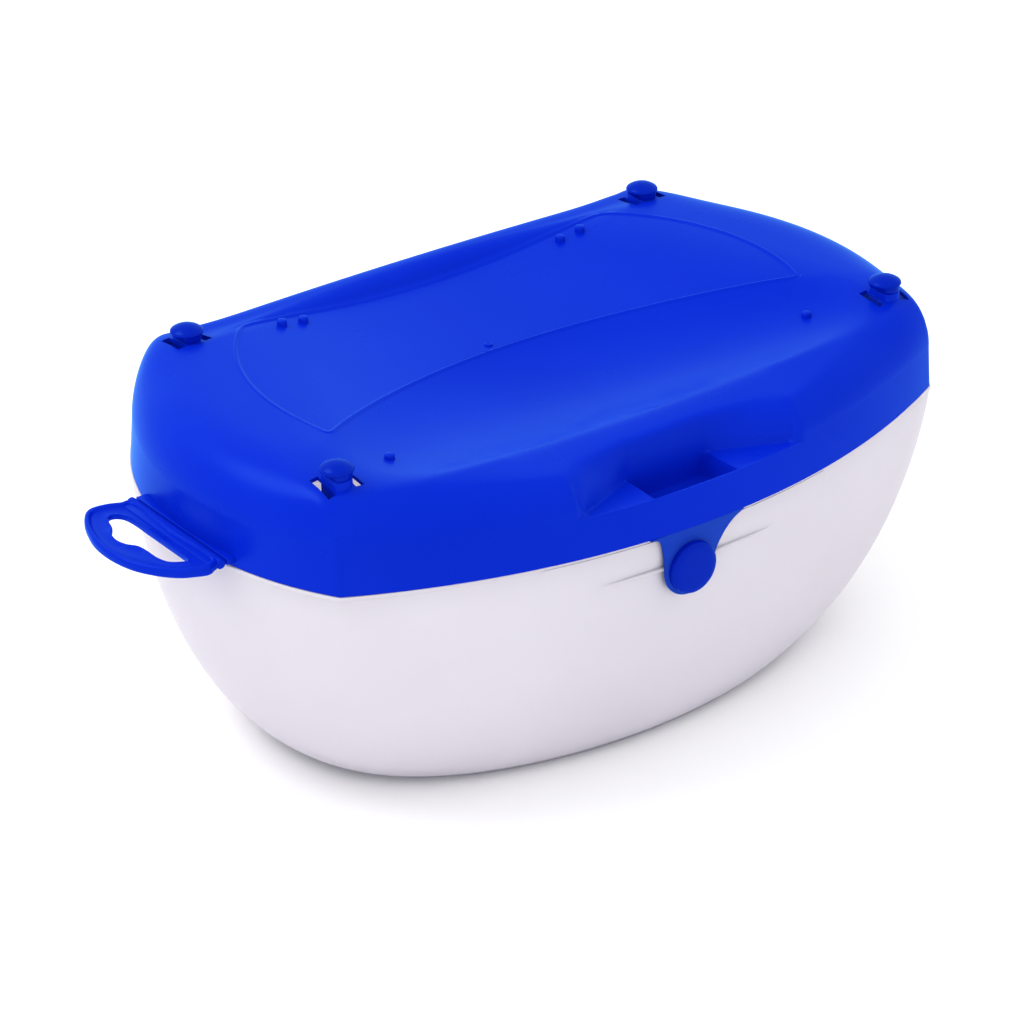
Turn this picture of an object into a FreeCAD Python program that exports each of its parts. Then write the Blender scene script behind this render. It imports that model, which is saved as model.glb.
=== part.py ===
# Hand-carried play-sand box: translucent tub, dished lid on two rear hinges, corner studs,
# a folding finger handle on the left end and a swing-down latch at the front.
# Frame: origin at the centre of the tub's flat bottom, +Z up, +X to the right end, -Y to the front.
import FreeCAD, Part
import math
import os
import Sketcher

V = FreeCAD.Vector
doc = FreeCAD.newDocument("sandbox_with_cover")

# ---------------------------------------------------------------- driving dimensions (mm)
DIMENSIONS = {
    # lid rim outline: four arcs that meet at the corners
    "rim_height": 132.3,          # lower edge of the lid's skirt
    "front_reach": 145.75,        # lid's front arc, at the middle
    "front_radius": 384.5,
    "end_centre_x": 42.9,
    "end_centre_y": -13.75,
    "end_radius": 162.0,
    "back_reach": 107.25,
    "back_radius": 2236.0,
    # tub hull
    "tub_front_reach": 142.75,
    "tub_front_radius": 409.0,
    "front_sharpen": 209.0,       # how much the front arc tightens towards the keel
    "front_tuck": 55.0,
    "end_tuck": 85.6,
    "back_tuck": 33.0,
    "hull_depth": 139.6,          # rim to the keel of the full curve; the flat bottom cuts it off
    "hull_curve": 1.63,
    "hull_roundness": 2.5,
    "tub_wall": 2.0,
    "seam_gap": 0.3,
    "bead_outset": 0.6,
    "bead_height": 2.2,
    "upstand_inset": 2.7,
    "upstand_height": 5.0,
    "upstand_root": 3.0,          # how far the upstand starts below the rim
    "upstand_draft": 1.0,
    "upstand_wall": 1.8,
    "mouth_depth": 4.0,           # how far down the mouth keeps the upstand's inside
    "mouth_foot_depth": 9.0,      # where the mouth has opened out to the tub's wall
    "cavity_lead": 1.4,           # the cavity follows the hull's shape from this much lower down
    # catch rib on the tub's front
    "latch_centre_x": -5.5,
    "rib_height": 113.4,
    "rib_half_length": 45.0,
    "rib_front": 143.15,
    "rib_thickness": 2.4,
    "rib_depth": 4.0,
    # lid
    "lid_wall": 2.0,
    "lid_top": 181.5,
    "dish_floor": 165.4,
    "dish_radius": 543.0,
    "dish_slope": 0.075,          # rise towards the back, per mm
    "dish_back": 82.0,
    "dish_front_reach": 97.0,
    "dish_front_radius": 300.0,
    "lip_floor": 172.4,
    "lip_radius": 1800.0,
    "lip_start": 55.0,
    # finger recess in the lid's front: a ledge with slanted wings and a deep pocket behind a lip
    "recess_centre_x": -4.0,
    "ledge_height": 151.8,
    "ledge_half_width": 69.6,
    "ledge_end_reach": 138.0,
    "ledge_end_rise": 26.0,       # how far the wings lean back over the recess's height
    "recess_height": 36.4,
    "pocket_half_width": 24.2,
    "pocket_reach": 118.8,
    "pocket_rise": 9.6,
    "pocket_floor": 140.0,
    "pocket_front_reach": 141.6,
    # pegs on the dish
    "peg_radius": 2.5,
    "peg_height": 2.6,
    "front_peg_x": 126.0,
    "front_peg_y": -67.0,
    "outer_back_peg_x": 91.8,
    "inner_back_peg_x": 79.2,
    "back_peg_y": 70.4,
    # corner studs
    "front_stud_x": 165.0,
    "front_stud_y": -80.5,
    "back_stud_x": 140.3,
    "back_stud_y": 80.5,
    "stud_head_radius": 8.2,
    "stud_head_bottom": 184.4,
    "stud_head_height": 4.4,
    "stud_brow": 1.4,             # straight edge under the dome
    "stud_neck_radius": 3.02,
    "stud_hole_radius": 3.0,
    "stud_foot_reach": 3.0,       # how far the barbed foot stands out under the boss
    "stud_foot_height": 2.8,
    "stud_foot_draw": 0.6,
    "stud_foot_barb": 0.9,
    "boss_radius": 7.6,
    "boss_half_width": 4.7,
    "boss_bottom": 167.0,
    "boss_top": 181.4,
    "boss_gap": 0.2,
    "window_offset": 7.7,
    "window_width": 4.6,
    "window_length": 15.0,
    # rear hinges
    "hinge_x": 90.0,
    "hinge_y": 113.0,
    "hinge_height": 119.0,
    "barrel_length": 22.0,
    "barrel_radius": 4.5,
    "pin_radius": 1.6,
    "pin_clearance": 0.05,
    "press_fit": 0.01,
    "ear_gap": 0.4,
    "ear_thickness": 4.0,
    "ear_root": 4.5,              # how far the ears' plates go back into the tub's wall
    "leg_setback": 0.4,
    "leg_thickness": 3.4,
    "arm_top": 140.0,
    "arm_thickness": 5.5,
    "arm_bite": 3.3,
    # carry handle
    "handle_axis_x": -208.2,
    "handle_axis_height": 135.9,
    "handle_bead_radius": 2.6,
    "handle_bead_inset": 0.4,
    "handle_thickness": 5.0,
    "handle_centre_y": -11.5,
    "handle_half_length": 43.0,
    "handle_reach": 38.0,
    "handle_arc_radius": 50.3,
    "handle_rim": 3.6,
    "handle_trough": 1.5,
    "finger_slot_out": 21.0,
    "finger_slot_width": 10.2,
    "finger_slot_start": 24.5,
    "finger_slot_length": 53.0,
    "finger_area_start": 27.0,
    "finger_area_length": 59.0,
    "hinge_line_gap": 0.3,
    "flange_thickness": 3.2,
    "flange_end_gap": 3.0,
    "flange_reach": 9.5,
    "flange_bite": 1.2,           # how far the flange goes into the skirt
    # latch
    "latch_outer_y": -144.75,
    "latch_thickness": 1.2,
    "latch_axis_height": 131.4,
    "latch_top_half_width": 28.0,
    "latch_waist_half_width": 15.8,
    "latch_waist_drop": 12.5,
    "latch_end_radius": 14.6,
    "button_shift": -3.4,         # button's centre from the middle of the tab's top edge
    "button_height": 111.3,
    "button_radius": 13.2,
    "button_thickness": 4.2,
    "button_rounding": 1.4,
    "button_stem_radius": 5.0,
    # cutting shapes
    "cut_past": 1.0,              # how far a cutter runs past the face it opens
    "cutter_span": 220.0,
    "cutter_drop": 20.0,
    "cutter_height": 60.0,
}

sheet = doc.addObject("Spreadsheet::Sheet", "Dimensions")
for row, (alias, value) in enumerate(DIMENSIONS.items(), start=1):
    sheet.set("A%d" % row, alias)
    sheet.set("B%d" % row, str(value))
    sheet.setAlias("B%d" % row, alias)
doc.recompute()


def dim(alias):
    """The number in a cell, for the shapes that code works out itself."""
    return float(sheet.get(alias))


def cells(expression):
    """Expression text with every dimension's name bound to its cell."""
    bound = expression
    for alias in sorted(DIMENSIONS, key=len, reverse=True):
        bound = bound.replace("$" + alias, "Dimensions." + alias)
    return bound


def value_of(expression):
    """The number that an expression over the cells stands for."""
    text = expression
    for alias in sorted(DIMENSIONS, key=len, reverse=True):
        text = text.replace("$" + alias, "(%r)" % dim(alias))
    scratch.set("A1", "=" + text)
    scratch.recompute()
    return float(scratch.get("A1"))


scratch = doc.addObject("Spreadsheet::Sheet", "Scratch")


def bind(obj, **bindings):
    """Bind properties to expressions over the cells; x, y and z place the object."""
    for name, expression in bindings.items():
        target = ".Placement.Base." + name if name in ("x", "y", "z") else name
        obj.setExpression(target, cells(str(expression)))
    return obj


# ---------------------------------------------------------------- primitives and booleans
def box(name, x, y, z, length, width, height):
    return bind(doc.addObject("Part::Box", name), x=x, y=y, z=z, Length=length, Width=width, Height=height)


def cylinder(name, x, y, z, radius, height, axis="Z"):
    """A cylinder from its low end (Z, X) or its front end (Y), along the given axis."""
    solid = doc.addObject("Part::Cylinder", name)
    turns = {"Z": (V(0, 0, 1), 0), "X": (V(0, 1, 0), 90), "Y": (V(1, 0, 0), -90)}
    direction, angle = turns[axis]
    solid.Placement = FreeCAD.Placement(V(), FreeCAD.Rotation(direction, angle))
    return bind(solid, x=x, y=y, z=z, Radius=radius, Height=height)


def cut(name, base, tool):
    result = doc.addObject("Part::Cut", name)
    result.Base = base
    result.Tool = tool
    result.Refine = False
    return result


def common(name, base, tool):
    result = doc.addObject("Part::Common", name)
    result.Base = base
    result.Tool = tool
    return result


def fuse(name, pieces):
    result = doc.addObject("Part::MultiFuse", name)
    result.Shapes = pieces
    return result


# ---------------------------------------------------------------- four-arc outlines
def circle_crossing(first, second, outward):
    """Where two circles (x, y, radius) meet, on the side that outward points to."""
    x0, y0, r0 = first
    x1, y1, r1 = second
    gap = math.hypot(x1 - x0, y1 - y0)
    along = (r0 * r0 - r1 * r1 + gap * gap) / (2 * gap)
    across = math.sqrt(r0 * r0 - along * along)
    ux, uy = (x1 - x0) / gap, (y1 - y0) / gap
    foot = V(x0 + along * ux, y0 + along * uy, 0)
    side = V(-uy, ux, 0) * across
    return max((foot + side, foot - side), key=lambda point: point.dot(outward))


LID_FRONT = ("$front_reach", "$front_radius")
TUB_FRONT = ("$tub_front_reach", "$tub_front_radius")


def outline(body, name, height, inset, tuck="0", front=TUB_FRONT):
    """Sketch of the closed outline at a height: front, right, back and left arcs, all inset.

    tuck runs from 0 at the rim to 1 at the keel and draws the hull's sides in.
    """
    reach, radius = front
    arcs = {
        "front": ("0", "%s - %s - $front_sharpen * %s" % (radius, reach, tuck),
                  "%s - ($front_sharpen + $front_tuck) * %s - (%s)" % (radius, tuck, inset)),
        "right": ("$end_centre_x", "$end_centre_y", "$end_radius - $end_tuck * %s - (%s)" % (tuck, inset)),
        "back": ("0", "$back_reach - $back_radius", "$back_radius - $back_tuck * %s - (%s)" % (tuck, inset)),
        "left": ("-$end_centre_x", "$end_centre_y", "$end_radius - $end_tuck * %s - (%s)" % (tuck, inset)),
    }
    number = {side: tuple(value_of(text) for text in arcs[side]) for side in arcs}
    front_right = circle_crossing(number["front"], number["right"], V(1, -1, 0))
    back_right = circle_crossing(number["back"], number["right"], V(1, 1, 0))
    front_left = V(-front_right.x, front_right.y, 0)
    back_left = V(-back_right.x, back_right.y, 0)
    corners = {"front": (front_left, front_right), "right": (front_right, back_right),
               "back": (back_right, back_left), "left": (back_left, front_left)}

    sketch = body.newObject("Sketcher::SketchObject", name)
    plane = [feature for feature in body.Origin.OriginFeatures if feature.Role == "XY_Plane"][0]
    sketch.AttachmentSupport = [(plane, "")]
    sketch.MapMode = "FlatFace"
    sketch.setExpression(".AttachmentOffset.Base.z", cells(height))
    sides = list(arcs)
    for side in sides:
        x, y, arc_radius = number[side]
        start, end = corners[side]
        circle = Part.Circle(V(x, y, 0), V(0, 0, 1), arc_radius)
        sketch.addGeometry(Part.ArcOfCircle(circle, circle.parameter(start), circle.parameter(end)), False)
    for index, side in enumerate(sides):
        sketch.addConstraint(Sketcher.Constraint("Coincident", index, 2, (index + 1) % len(sides), 1))
        x, y, arc_radius = number[side]
        measures = {"x": ("DistanceX", x), "y": ("DistanceY", y)}
        for letter, (kind, place) in measures.items():
            position = list(measures).index(letter)
            if arcs[side][position] == "0":
                sketch.addConstraint(Sketcher.Constraint("PointOnObject", index, 3, -2))
                continue
            entry = sketch.addConstraint(Sketcher.Constraint(kind, -1, 1, index, 3, place))
            label = "%s_centre_%s" % (side, letter)
            sketch.renameConstraint(entry, label)
            sketch.setExpression("Constraints." + label, cells(arcs[side][position]))
        entry = sketch.addConstraint(Sketcher.Constraint("Radius", index, arc_radius))
        sketch.renameConstraint(entry, side + "_radius")
        sketch.setExpression("Constraints.%s_radius" % side, cells(arcs[side][2]))
    return sketch


def loft(body, name, sections, kind="AdditiveLoft", ruled=False):
    feature = body.newObject("PartDesign::" + kind, name)
    feature.Profile = sections[0]
    feature.Sections = sections[1:]
    feature.Ruled = ruled
    return feature


# ---------------------------------------------------------------- tub
HULL_FRACTIONS = (0.0, 0.2, 0.4, 0.6, 0.78, 0.89)   # of the hull depth, rim to bottom


def hull_tuck(depth):
    """How far the hull's sides are drawn in at a depth below the rim, 0 to 1."""
    return "(1 - (1 - ((%s) / $hull_depth)^$hull_curve)^(1 / $hull_roundness))" % depth


def build_tub():
    body = doc.addObject("PartDesign::Body", "TubShell")
    levels = ["$rim_height - $seam_gap - %s * $hull_depth" % part for part in HULL_FRACTIONS] + ["0"]
    tucks = [hull_tuck("%s * $hull_depth" % part) for part in HULL_FRACTIONS] + [hull_tuck("$rim_height")]
    hull = [outline(body, "HullOutline%d" % i, level, "0", tuck)
            for i, (level, tuck) in enumerate(zip(levels, tucks))]
    loft(body, "Hull", hull)
    bead = [outline(body, "BeadLow", "$rim_height - $seam_gap - $bead_height", "-$bead_outset"),
            outline(body, "BeadHigh", "$rim_height - $seam_gap", "-$bead_outset")]
    loft(body, "RimBead", bead)
    upstand = [outline(body, "UpstandLow", "$rim_height - $upstand_root", "$upstand_inset"),
               outline(body, "UpstandHigh", "$rim_height + $upstand_height",
                       "$upstand_inset + $upstand_draft")]
    loft(body, "Upstand", upstand)
    mouth_inset = "$upstand_inset + $upstand_draft + $upstand_wall"
    mouth = [outline(body, "MouthHigh", "$rim_height + $upstand_height + $cut_past", mouth_inset),
             outline(body, "MouthLow", "$rim_height - $mouth_depth", mouth_inset),
             outline(body, "MouthFoot", "$rim_height - $mouth_foot_depth", "$tub_wall",
                     hull_tuck("$mouth_foot_depth"))]
    loft(body, "Mouth", mouth, "SubtractiveLoft", ruled=True)
    depths = ["$mouth_foot_depth"] + ["%s * $hull_depth" % part for part in HULL_FRACTIONS[1:]]
    depths.append("$rim_height - $tub_wall")
    cavity = [outline(body, "CavityOutline%d" % i, "$rim_height - (%s)" % depth, "$tub_wall",
                      hull_tuck("%s + $cavity_lead" % depth if i else depth))
              for i, depth in enumerate(depths)]
    loft(body, "Cavity", cavity, "SubtractiveLoft")

    rib = box("CatchRib", "$latch_centre_x - $rib_half_length", "-$rib_front",
              "$rib_height - $rib_thickness / 2", "2 * $rib_half_length", "$rib_depth", "$rib_thickness")
    pieces = [body, rib]
    for side, sign in (("Left", -1), ("Right", 1)):
        for edge, step in (("Outer", 1), ("Inner", -1)):
            name = side + edge
            near = "%d * $hinge_x + %d * ($barrel_length / 2 + $ear_gap)" % (sign, step)
            start = near if step == 1 else near + " - $ear_thickness"
            pieces.append(box(name + "EarPlate", start, "$back_reach - $ear_root",
                              "$hinge_height - $barrel_radius", "$ear_thickness",
                              "$hinge_y - $back_reach + $ear_root", "2 * $barrel_radius"))
            pieces.append(cylinder(name + "EarEye", start, "$hinge_y", "$hinge_height",
                                   "$barrel_radius", "$ear_thickness", "X"))
    solid = fuse("TubSolid", pieces)
    span = "$barrel_length + 2 * ($ear_gap + $ear_thickness)"
    bores = [cylinder(side + "EarBore", "%d * $hinge_x - (%s) / 2 - $cut_past" % (sign, span), "$hinge_y",
                      "$hinge_height", "$pin_radius", span + " + 2 * $cut_past", "X")
             for side, sign in (("Left", -1), ("Right", 1))]
    return cut("Tub", solid, fuse("EarBores", bores))


def build_hinge_pin(side, sign):
    length = "$barrel_length + 2 * ($ear_gap + $ear_thickness)"
    return cylinder(side + "HingePin", "%d * $hinge_x - (%s) / 2" % (sign, length), "$hinge_y",
                    "$hinge_height", "$pin_radius + $press_fit", length, "X")


# ---------------------------------------------------------------- lid
LID_PROFILE = ((0.0, 0.0), (25.7, 2.6), (37.2, 7.5), (44.2, 15.0), (47.5, 25.0), (49.2, 42.0))
INSIDE_EASE = 0.6              # the inside follows the wall sideways less towards the flat top
RIM_DROP = 0.5                 # the inside starts this share of a wall below the rim


def lid_dome(name, offset):
    """The lid's closed outer form, or its inside when offset is the wall thickness."""
    body = doc.addObject("PartDesign::Body", name)
    sections = []
    for i, (rise, inset) in enumerate(LID_PROFILE):
        drop = "%s * %s" % (offset, round(rise / LID_PROFILE[-1][0], 3))
        height = "$rim_height + %s - %s" % (rise, drop if i else "(%s) * %s" % (offset, RIM_DROP))
        side_share = round(1 - INSIDE_EASE * inset / LID_PROFILE[-1][1], 3)
        sections.append(outline(body, "%sOutline%d" % (name, i), height,
                                "%s + %s * %s" % (inset, offset, side_share), front=LID_FRONT))
    loft(body, name + "Loft", sections, ruled=True)
    return body


def polygon(body, name, points, height):
    """A closed polygon sketch whose corners are bound to expressions."""
    sketch = body.newObject("Sketcher::SketchObject", name)
    plane = [feature for feature in body.Origin.OriginFeatures if feature.Role == "XY_Plane"][0]
    sketch.AttachmentSupport = [(plane, "")]
    sketch.MapMode = "FlatFace"
    sketch.setExpression(".AttachmentOffset.Base.z", cells(height))
    corners = [V(value_of(x), value_of(y), 0) for x, y in points]
    count = len(corners)
    for i in range(count):
        sketch.addGeometry(Part.LineSegment(corners[i], corners[(i + 1) % count]), False)
    for i in range(count):
        sketch.addConstraint(Sketcher.Constraint("Coincident", i, 2, (i + 1) % count, 1))
        for kind, letter, text, place in (("DistanceX", "x", points[i][0], corners[i].x),
                                          ("DistanceY", "y", points[i][1], corners[i].y)):
            entry = sketch.addConstraint(Sketcher.Constraint(kind, -1, 1, i, 1, place))
            label = "corner_%d_%s" % (i, letter)
            sketch.renameConstraint(entry, label)
            sketch.setExpression("Constraints." + label, cells(text))
    return sketch


def sagging_solid(name, floor, radius, slope, grow):
    """A wide cylinder lying front to back, whose lowest line is the floor of a dished cut."""
    reach = 2 * dim("cutter_span")
    tilt = math.degrees(math.atan(slope))
    solid = doc.addObject("Part::Cylinder", name)
    turn = FreeCAD.Rotation(V(1, 0, 0), tilt) * FreeCAD.Rotation(V(1, 0, 0), -90)
    solid.Placement = FreeCAD.Placement(V(), turn)
    axis_rise = "%s / cos(%s deg) - %s" % (radius, tilt, reach / 2 * slope)
    return bind(solid, x="0", y=-reach / 2, z="%s + %s" % (floor, axis_rise),
                Radius="%s + %s" % (radius, grow), Height=reach)


def dish_cutter(name, grow):
    """Space above the dished panel, bounded by a front arc and a straight back edge."""
    sag = sagging_solid(name + "Sag", "$dish_floor", "$dish_radius", dim("dish_slope"), grow)
    front = cylinder(name + "Front", "0", "$dish_front_radius - $dish_front_reach",
                     "$dish_floor - $cutter_drop", "$dish_front_radius + %s" % grow, "$cutter_height")
    strip = box(name + "Strip", "-$cutter_span", "-$cutter_span", "$dish_floor - $cutter_drop",
                "2 * $cutter_span", "$cutter_span + $dish_back + %s" % grow, "$cutter_height")
    return common(name, sag, common(name + "Area", front, strip))


def lip_cutter(name, grow):
    """Space above the dipped front lip."""
    sag = sagging_solid(name + "Sag", "$lip_floor", "$lip_radius", 0.0, grow)
    strip = box(name + "Strip", "-$cutter_span", "-$cutter_span", "$lip_floor - $cutter_drop",
                "2 * $cutter_span", "$cutter_span - $lip_start", "$cutter_height")
    return common(name, sag, strip)


def ledge_cutter(name, grow):
    """Space over the recess's ledge: a back wall with a wing on each side, open to the front."""
    body = doc.addObject("PartDesign::Body", name)
    sketches = []
    for part, height, wall_lean, wing_lean in (("Floor", "$ledge_height - %s" % grow, "0", "0"),
                                               ("Top", "$ledge_height + $recess_height",
                                                "$pocket_rise", "$ledge_end_rise")):
        points = []
        for sign in (-1, 1):
            wing = ("$recess_centre_x + %d * ($ledge_half_width + %s)" % (sign, grow),
                    "-$ledge_end_reach + %s + %s" % (wing_lean, grow))
            wall = ("$recess_centre_x + %d * ($pocket_half_width + %s)" % (sign, grow),
                    "-$pocket_reach + %s + %s" % (wall_lean, grow))
            points += [wing, wall] if sign < 0 else [wall, wing]
        points += [(points[3][0], "-$cutter_span"), (points[0][0], "-$cutter_span")]
        sketches.append(polygon(body, name + part, points, height))
    loft(body, name + "Loft", sketches, ruled=True)
    return body


def lid_cutters(prefix, grow):
    pocket = box(prefix + "Pocket", "$recess_centre_x - $pocket_half_width - %s" % grow,
                 "-$pocket_front_reach - %s" % grow, "$pocket_floor - %s" % grow,
                 "2 * ($pocket_half_width + %s)" % grow,
                 "$pocket_front_reach - $pocket_reach + 2 * %s" % grow, "$cutter_drop")
    return fuse(prefix + "Cutters", [dish_cutter(prefix + "Dish", grow), lip_cutter(prefix + "Lip", grow),
                                     pocket, ledge_cutter(prefix + "Ledge", grow)])


def panel_height(x, y):
    """Height of the dished panel over a point."""
    return "$dish_floor + (%s)^2 / (2 * $dish_radius) + $dish_slope * (%s)" % (x, y)


STUDS = {
    "front_left_stud": (-1, "$front_stud_x", "$front_stud_y"),
    "front_right_stud": (1, "$front_stud_x", "$front_stud_y"),
    "back_left_stud": (-1, "$back_stud_x", "$back_stud_y"),
    "back_right_stud": (1, "$back_stud_x", "$back_stud_y"),
}
PEGS = {
    "FrontPeg": ("$front_peg_x", "$front_peg_y"),
    "OuterBackPeg": ("$outer_back_peg_x", "$back_peg_y"),
    "InnerBackPeg": ("$inner_back_peg_x", "$back_peg_y"),
}


def build_lid():
    outer = cut("LidOuter", lid_dome("LidDome", "0"), lid_cutters("Outer", "0"))
    inner = cut("LidInner", lid_dome("LidHollow", "$lid_wall"), lid_cutters("Inner", "$lid_wall"))
    shell = cut("LidShell", outer, inner)
    additions = [shell]
    holes = []
    for name, (sign, x, y) in STUDS.items():
        centre = "%d * %s" % (sign, x)
        additions.append(flat_sided_post(name + "_boss", centre, y, "$boss_bottom", "$boss_top"))
        holes.append(cylinder(name + "_hole", centre, y, "$boss_bottom - $cut_past", "$stud_hole_radius",
                              "$boss_top - $boss_bottom + 2 * $cut_past"))
        for step in (-1, 1):
            holes.append(box("%s_window_%s" % (name, "left" if step < 0 else "right"),
                             "%s + %d * $window_offset - $window_width / 2" % (centre, step),
                             "%s - $window_length / 2" % y, "$boss_bottom - $cut_past", "$window_width",
                             "$window_length", "$lid_top - $boss_bottom + 2 * $cut_past"))
    for name, (x, y) in PEGS.items():
        for side, sign in (("Left", -1), ("Right", 1)):
            additions.append(cylinder(side + name, "%d * %s" % (sign, x), y,
                                      panel_height(x, y) + " - $cut_past", "$peg_radius",
                                      "$peg_height + $cut_past"))
    for side, sign in (("Left", -1), ("Right", 1)):
        start = "%d * $hinge_x - $barrel_length / 2" % sign
        additions.append(cylinder(side + "Barrel", start, "$hinge_y", "$hinge_height", "$barrel_radius",
                                  "$barrel_length", "X"))
        leg_front = "($hinge_y - $barrel_radius + $leg_setback)"
        arm_front = "($back_reach - $arm_bite)"
        additions.append(box(side + "HingeLeg", start, leg_front, "$hinge_height", "$barrel_length",
                             "$leg_thickness", "$arm_top - $hinge_height"))
        additions.append(box(side + "HingeArm", start, arm_front, "$arm_top - $arm_thickness",
                             "$barrel_length", "%s + $leg_thickness - %s" % (leg_front, arm_front),
                             "$arm_thickness"))
        holes.append(cylinder(side + "BarrelBore", start + " - $cut_past", "$hinge_y", "$hinge_height",
                              "$pin_radius + $press_fit + $pin_clearance", "$barrel_length + 2 * $cut_past",
                              "X"))
    flange = box("FlangePlate", "$handle_axis_x", "$handle_centre_y - $handle_half_length + $flange_end_gap",
                 "$handle_axis_height - $flange_thickness / 2", "$flange_reach",
                 "2 * ($handle_half_length - $flange_end_gap)", "$flange_thickness")
    room = cylinder("FlangeRoom", "-$end_centre_x", "$end_centre_y", "$rim_height",
                    "$end_radius - $flange_bite", "2 * $flange_thickness")
    additions.append(cut("HandleFlange", flange, room))
    holes.append(cylinder("HandleGroove", "$handle_axis_x", "$handle_centre_y - $handle_half_length",
                          "$handle_axis_height", "$handle_bead_radius + $hinge_line_gap",
                          "2 * $handle_half_length", "Y"))
    return cut("Lid", fuse("LidSolid", additions), fuse("LidHoles", holes))


def flat_sided_post(name, x, y, low, high):
    """A round post cut flat on its left and right sides, between two heights."""
    post = cylinder(name + "_round", x, y, low, "$boss_radius", "%s - %s" % (high, low))
    slab = box(name + "_slab", "%s - $boss_half_width" % x, "%s - $boss_radius" % y, low,
               "2 * $boss_half_width", "2 * $boss_radius", "%s - %s" % (high, low))
    return common(name, post, slab)


def build_stud(name):
    """Stud: a domed head on a flat-sided shoulder, with a neck and a barbed foot under the boss."""
    sign, x, y = STUDS[name]
    centre = "%d * %s" % (sign, x)
    brow = "$stud_head_bottom + $stud_brow"
    cap_height = "($stud_head_height - $stud_brow)"
    dome_radius = "(($stud_head_radius^2 + %s^2) / (2 * %s))" % (cap_height, cap_height)
    ball = bind(doc.addObject("Part::Sphere", name + "_ball"), x=centre, y=y,
                z="%s + %s - %s" % (brow, cap_height, dome_radius), Radius=dome_radius)
    space = cylinder(name + "_dome_space", centre, y, brow, "$stud_head_radius + $cut_past",
                     cap_height + " + $cut_past")
    brim = cylinder(name + "_brim", centre, y, "$stud_head_bottom", "$stud_head_radius", "$stud_brow")
    shoulder = flat_sided_post(name + "_shoulder", centre, y, "($boss_top + $boss_gap)", "$stud_head_bottom")
    foot = "$boss_bottom - $stud_foot_reach"
    neck = cylinder(name + "_neck", centre, y, foot, "$stud_neck_radius",
                    "$stud_head_bottom - $boss_bottom + $stud_foot_reach")
    barb = bind(doc.addObject("Part::Cone", name + "_barb"), x=centre, y=y, z=foot,
                Radius1="$stud_neck_radius - $stud_foot_draw", Radius2="$stud_neck_radius + $stud_foot_barb",
                Height="$stud_foot_height")
    return fuse(name, [common(name + "_dome", ball, space), brim, shoulder, neck, barb])


# ---------------------------------------------------------------- carry handle
HANDLE_LOBES = ((16.0, 25.0, 6.2), (15.3, 9.5, 12.0), (13.8, -15.5, 11.0))   # out from axis, along, radius


def handle_blank(name, shrink, low, height):
    """The D-shaped plate of the handle, drawn in by shrink."""
    disc = cylinder(name + "Disc", "$handle_axis_x - $handle_reach + $handle_arc_radius", "$handle_centre_y",
                    low, "$handle_arc_radius - %s" % shrink, height)
    strip = box(name + "Strip", "$handle_axis_x - $handle_reach - $cut_past",
                "$handle_centre_y - $handle_half_length + %s" % shrink, low,
                "$handle_reach + $cut_past - %s" % shrink, "2 * ($handle_half_length - %s)" % shrink, height)
    return common(name, disc, strip)


def build_handle():
    low = "$handle_axis_height - $handle_thickness / 2"
    plate = handle_blank("HandlePlate", "0", low, "$handle_thickness")
    bead = cylinder("HandleBead", "$handle_axis_x",
                    "$handle_centre_y - $handle_half_length + $handle_bead_inset", "$handle_axis_height",
                    "$handle_bead_radius", "2 * ($handle_half_length - $handle_bead_inset)", "Y")
    lobes = [cylinder("FingerLobe%d" % i, "$handle_axis_x - %s" % out, "$handle_centre_y + %s" % along,
                      low + " - $cut_past", radius, "$handle_thickness + 2 * $cut_past")
             for i, (out, along, radius) in enumerate(HANDLE_LOBES)]
    lobes.append(box("FingerSlot", "$handle_axis_x - $finger_slot_out",
                     "$handle_centre_y - $finger_slot_start", low + " - $cut_past", "$finger_slot_width",
                     "$finger_slot_length", "$handle_thickness + 2 * $cut_past"))
    finger_area = box("FingerArea", "$handle_axis_x - $handle_reach",
                      "$handle_centre_y - $finger_area_start", low + " - $cut_past",
                      "$handle_reach - $finger_slot_out + $finger_slot_width", "$finger_area_length",
                      "$handle_thickness + 2 * $cut_past")
    finger_hole = common("FingerHole", fuse("FingerLobes", lobes), finger_area)
    troughs = [handle_blank(name, "$handle_rim", level, "$handle_trough + $cut_past")
               for name, level in (("UpperTrough", low + " + $handle_thickness - $handle_trough"),
                                   ("LowerTrough", low + " - $cut_past"))]
    blank = fuse("HandleSolid", [cut("HandleChannel", plate, fuse("Troughs", troughs)), bead])
    return cut("Handle", blank, finger_hole)


# ---------------------------------------------------------------- latch
FLARE_HOLLOW = 2.2             # how far the tab's flares curve in, mm
FLARE_SHARE = 0.45             # where along the drop the flares are deepest


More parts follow.
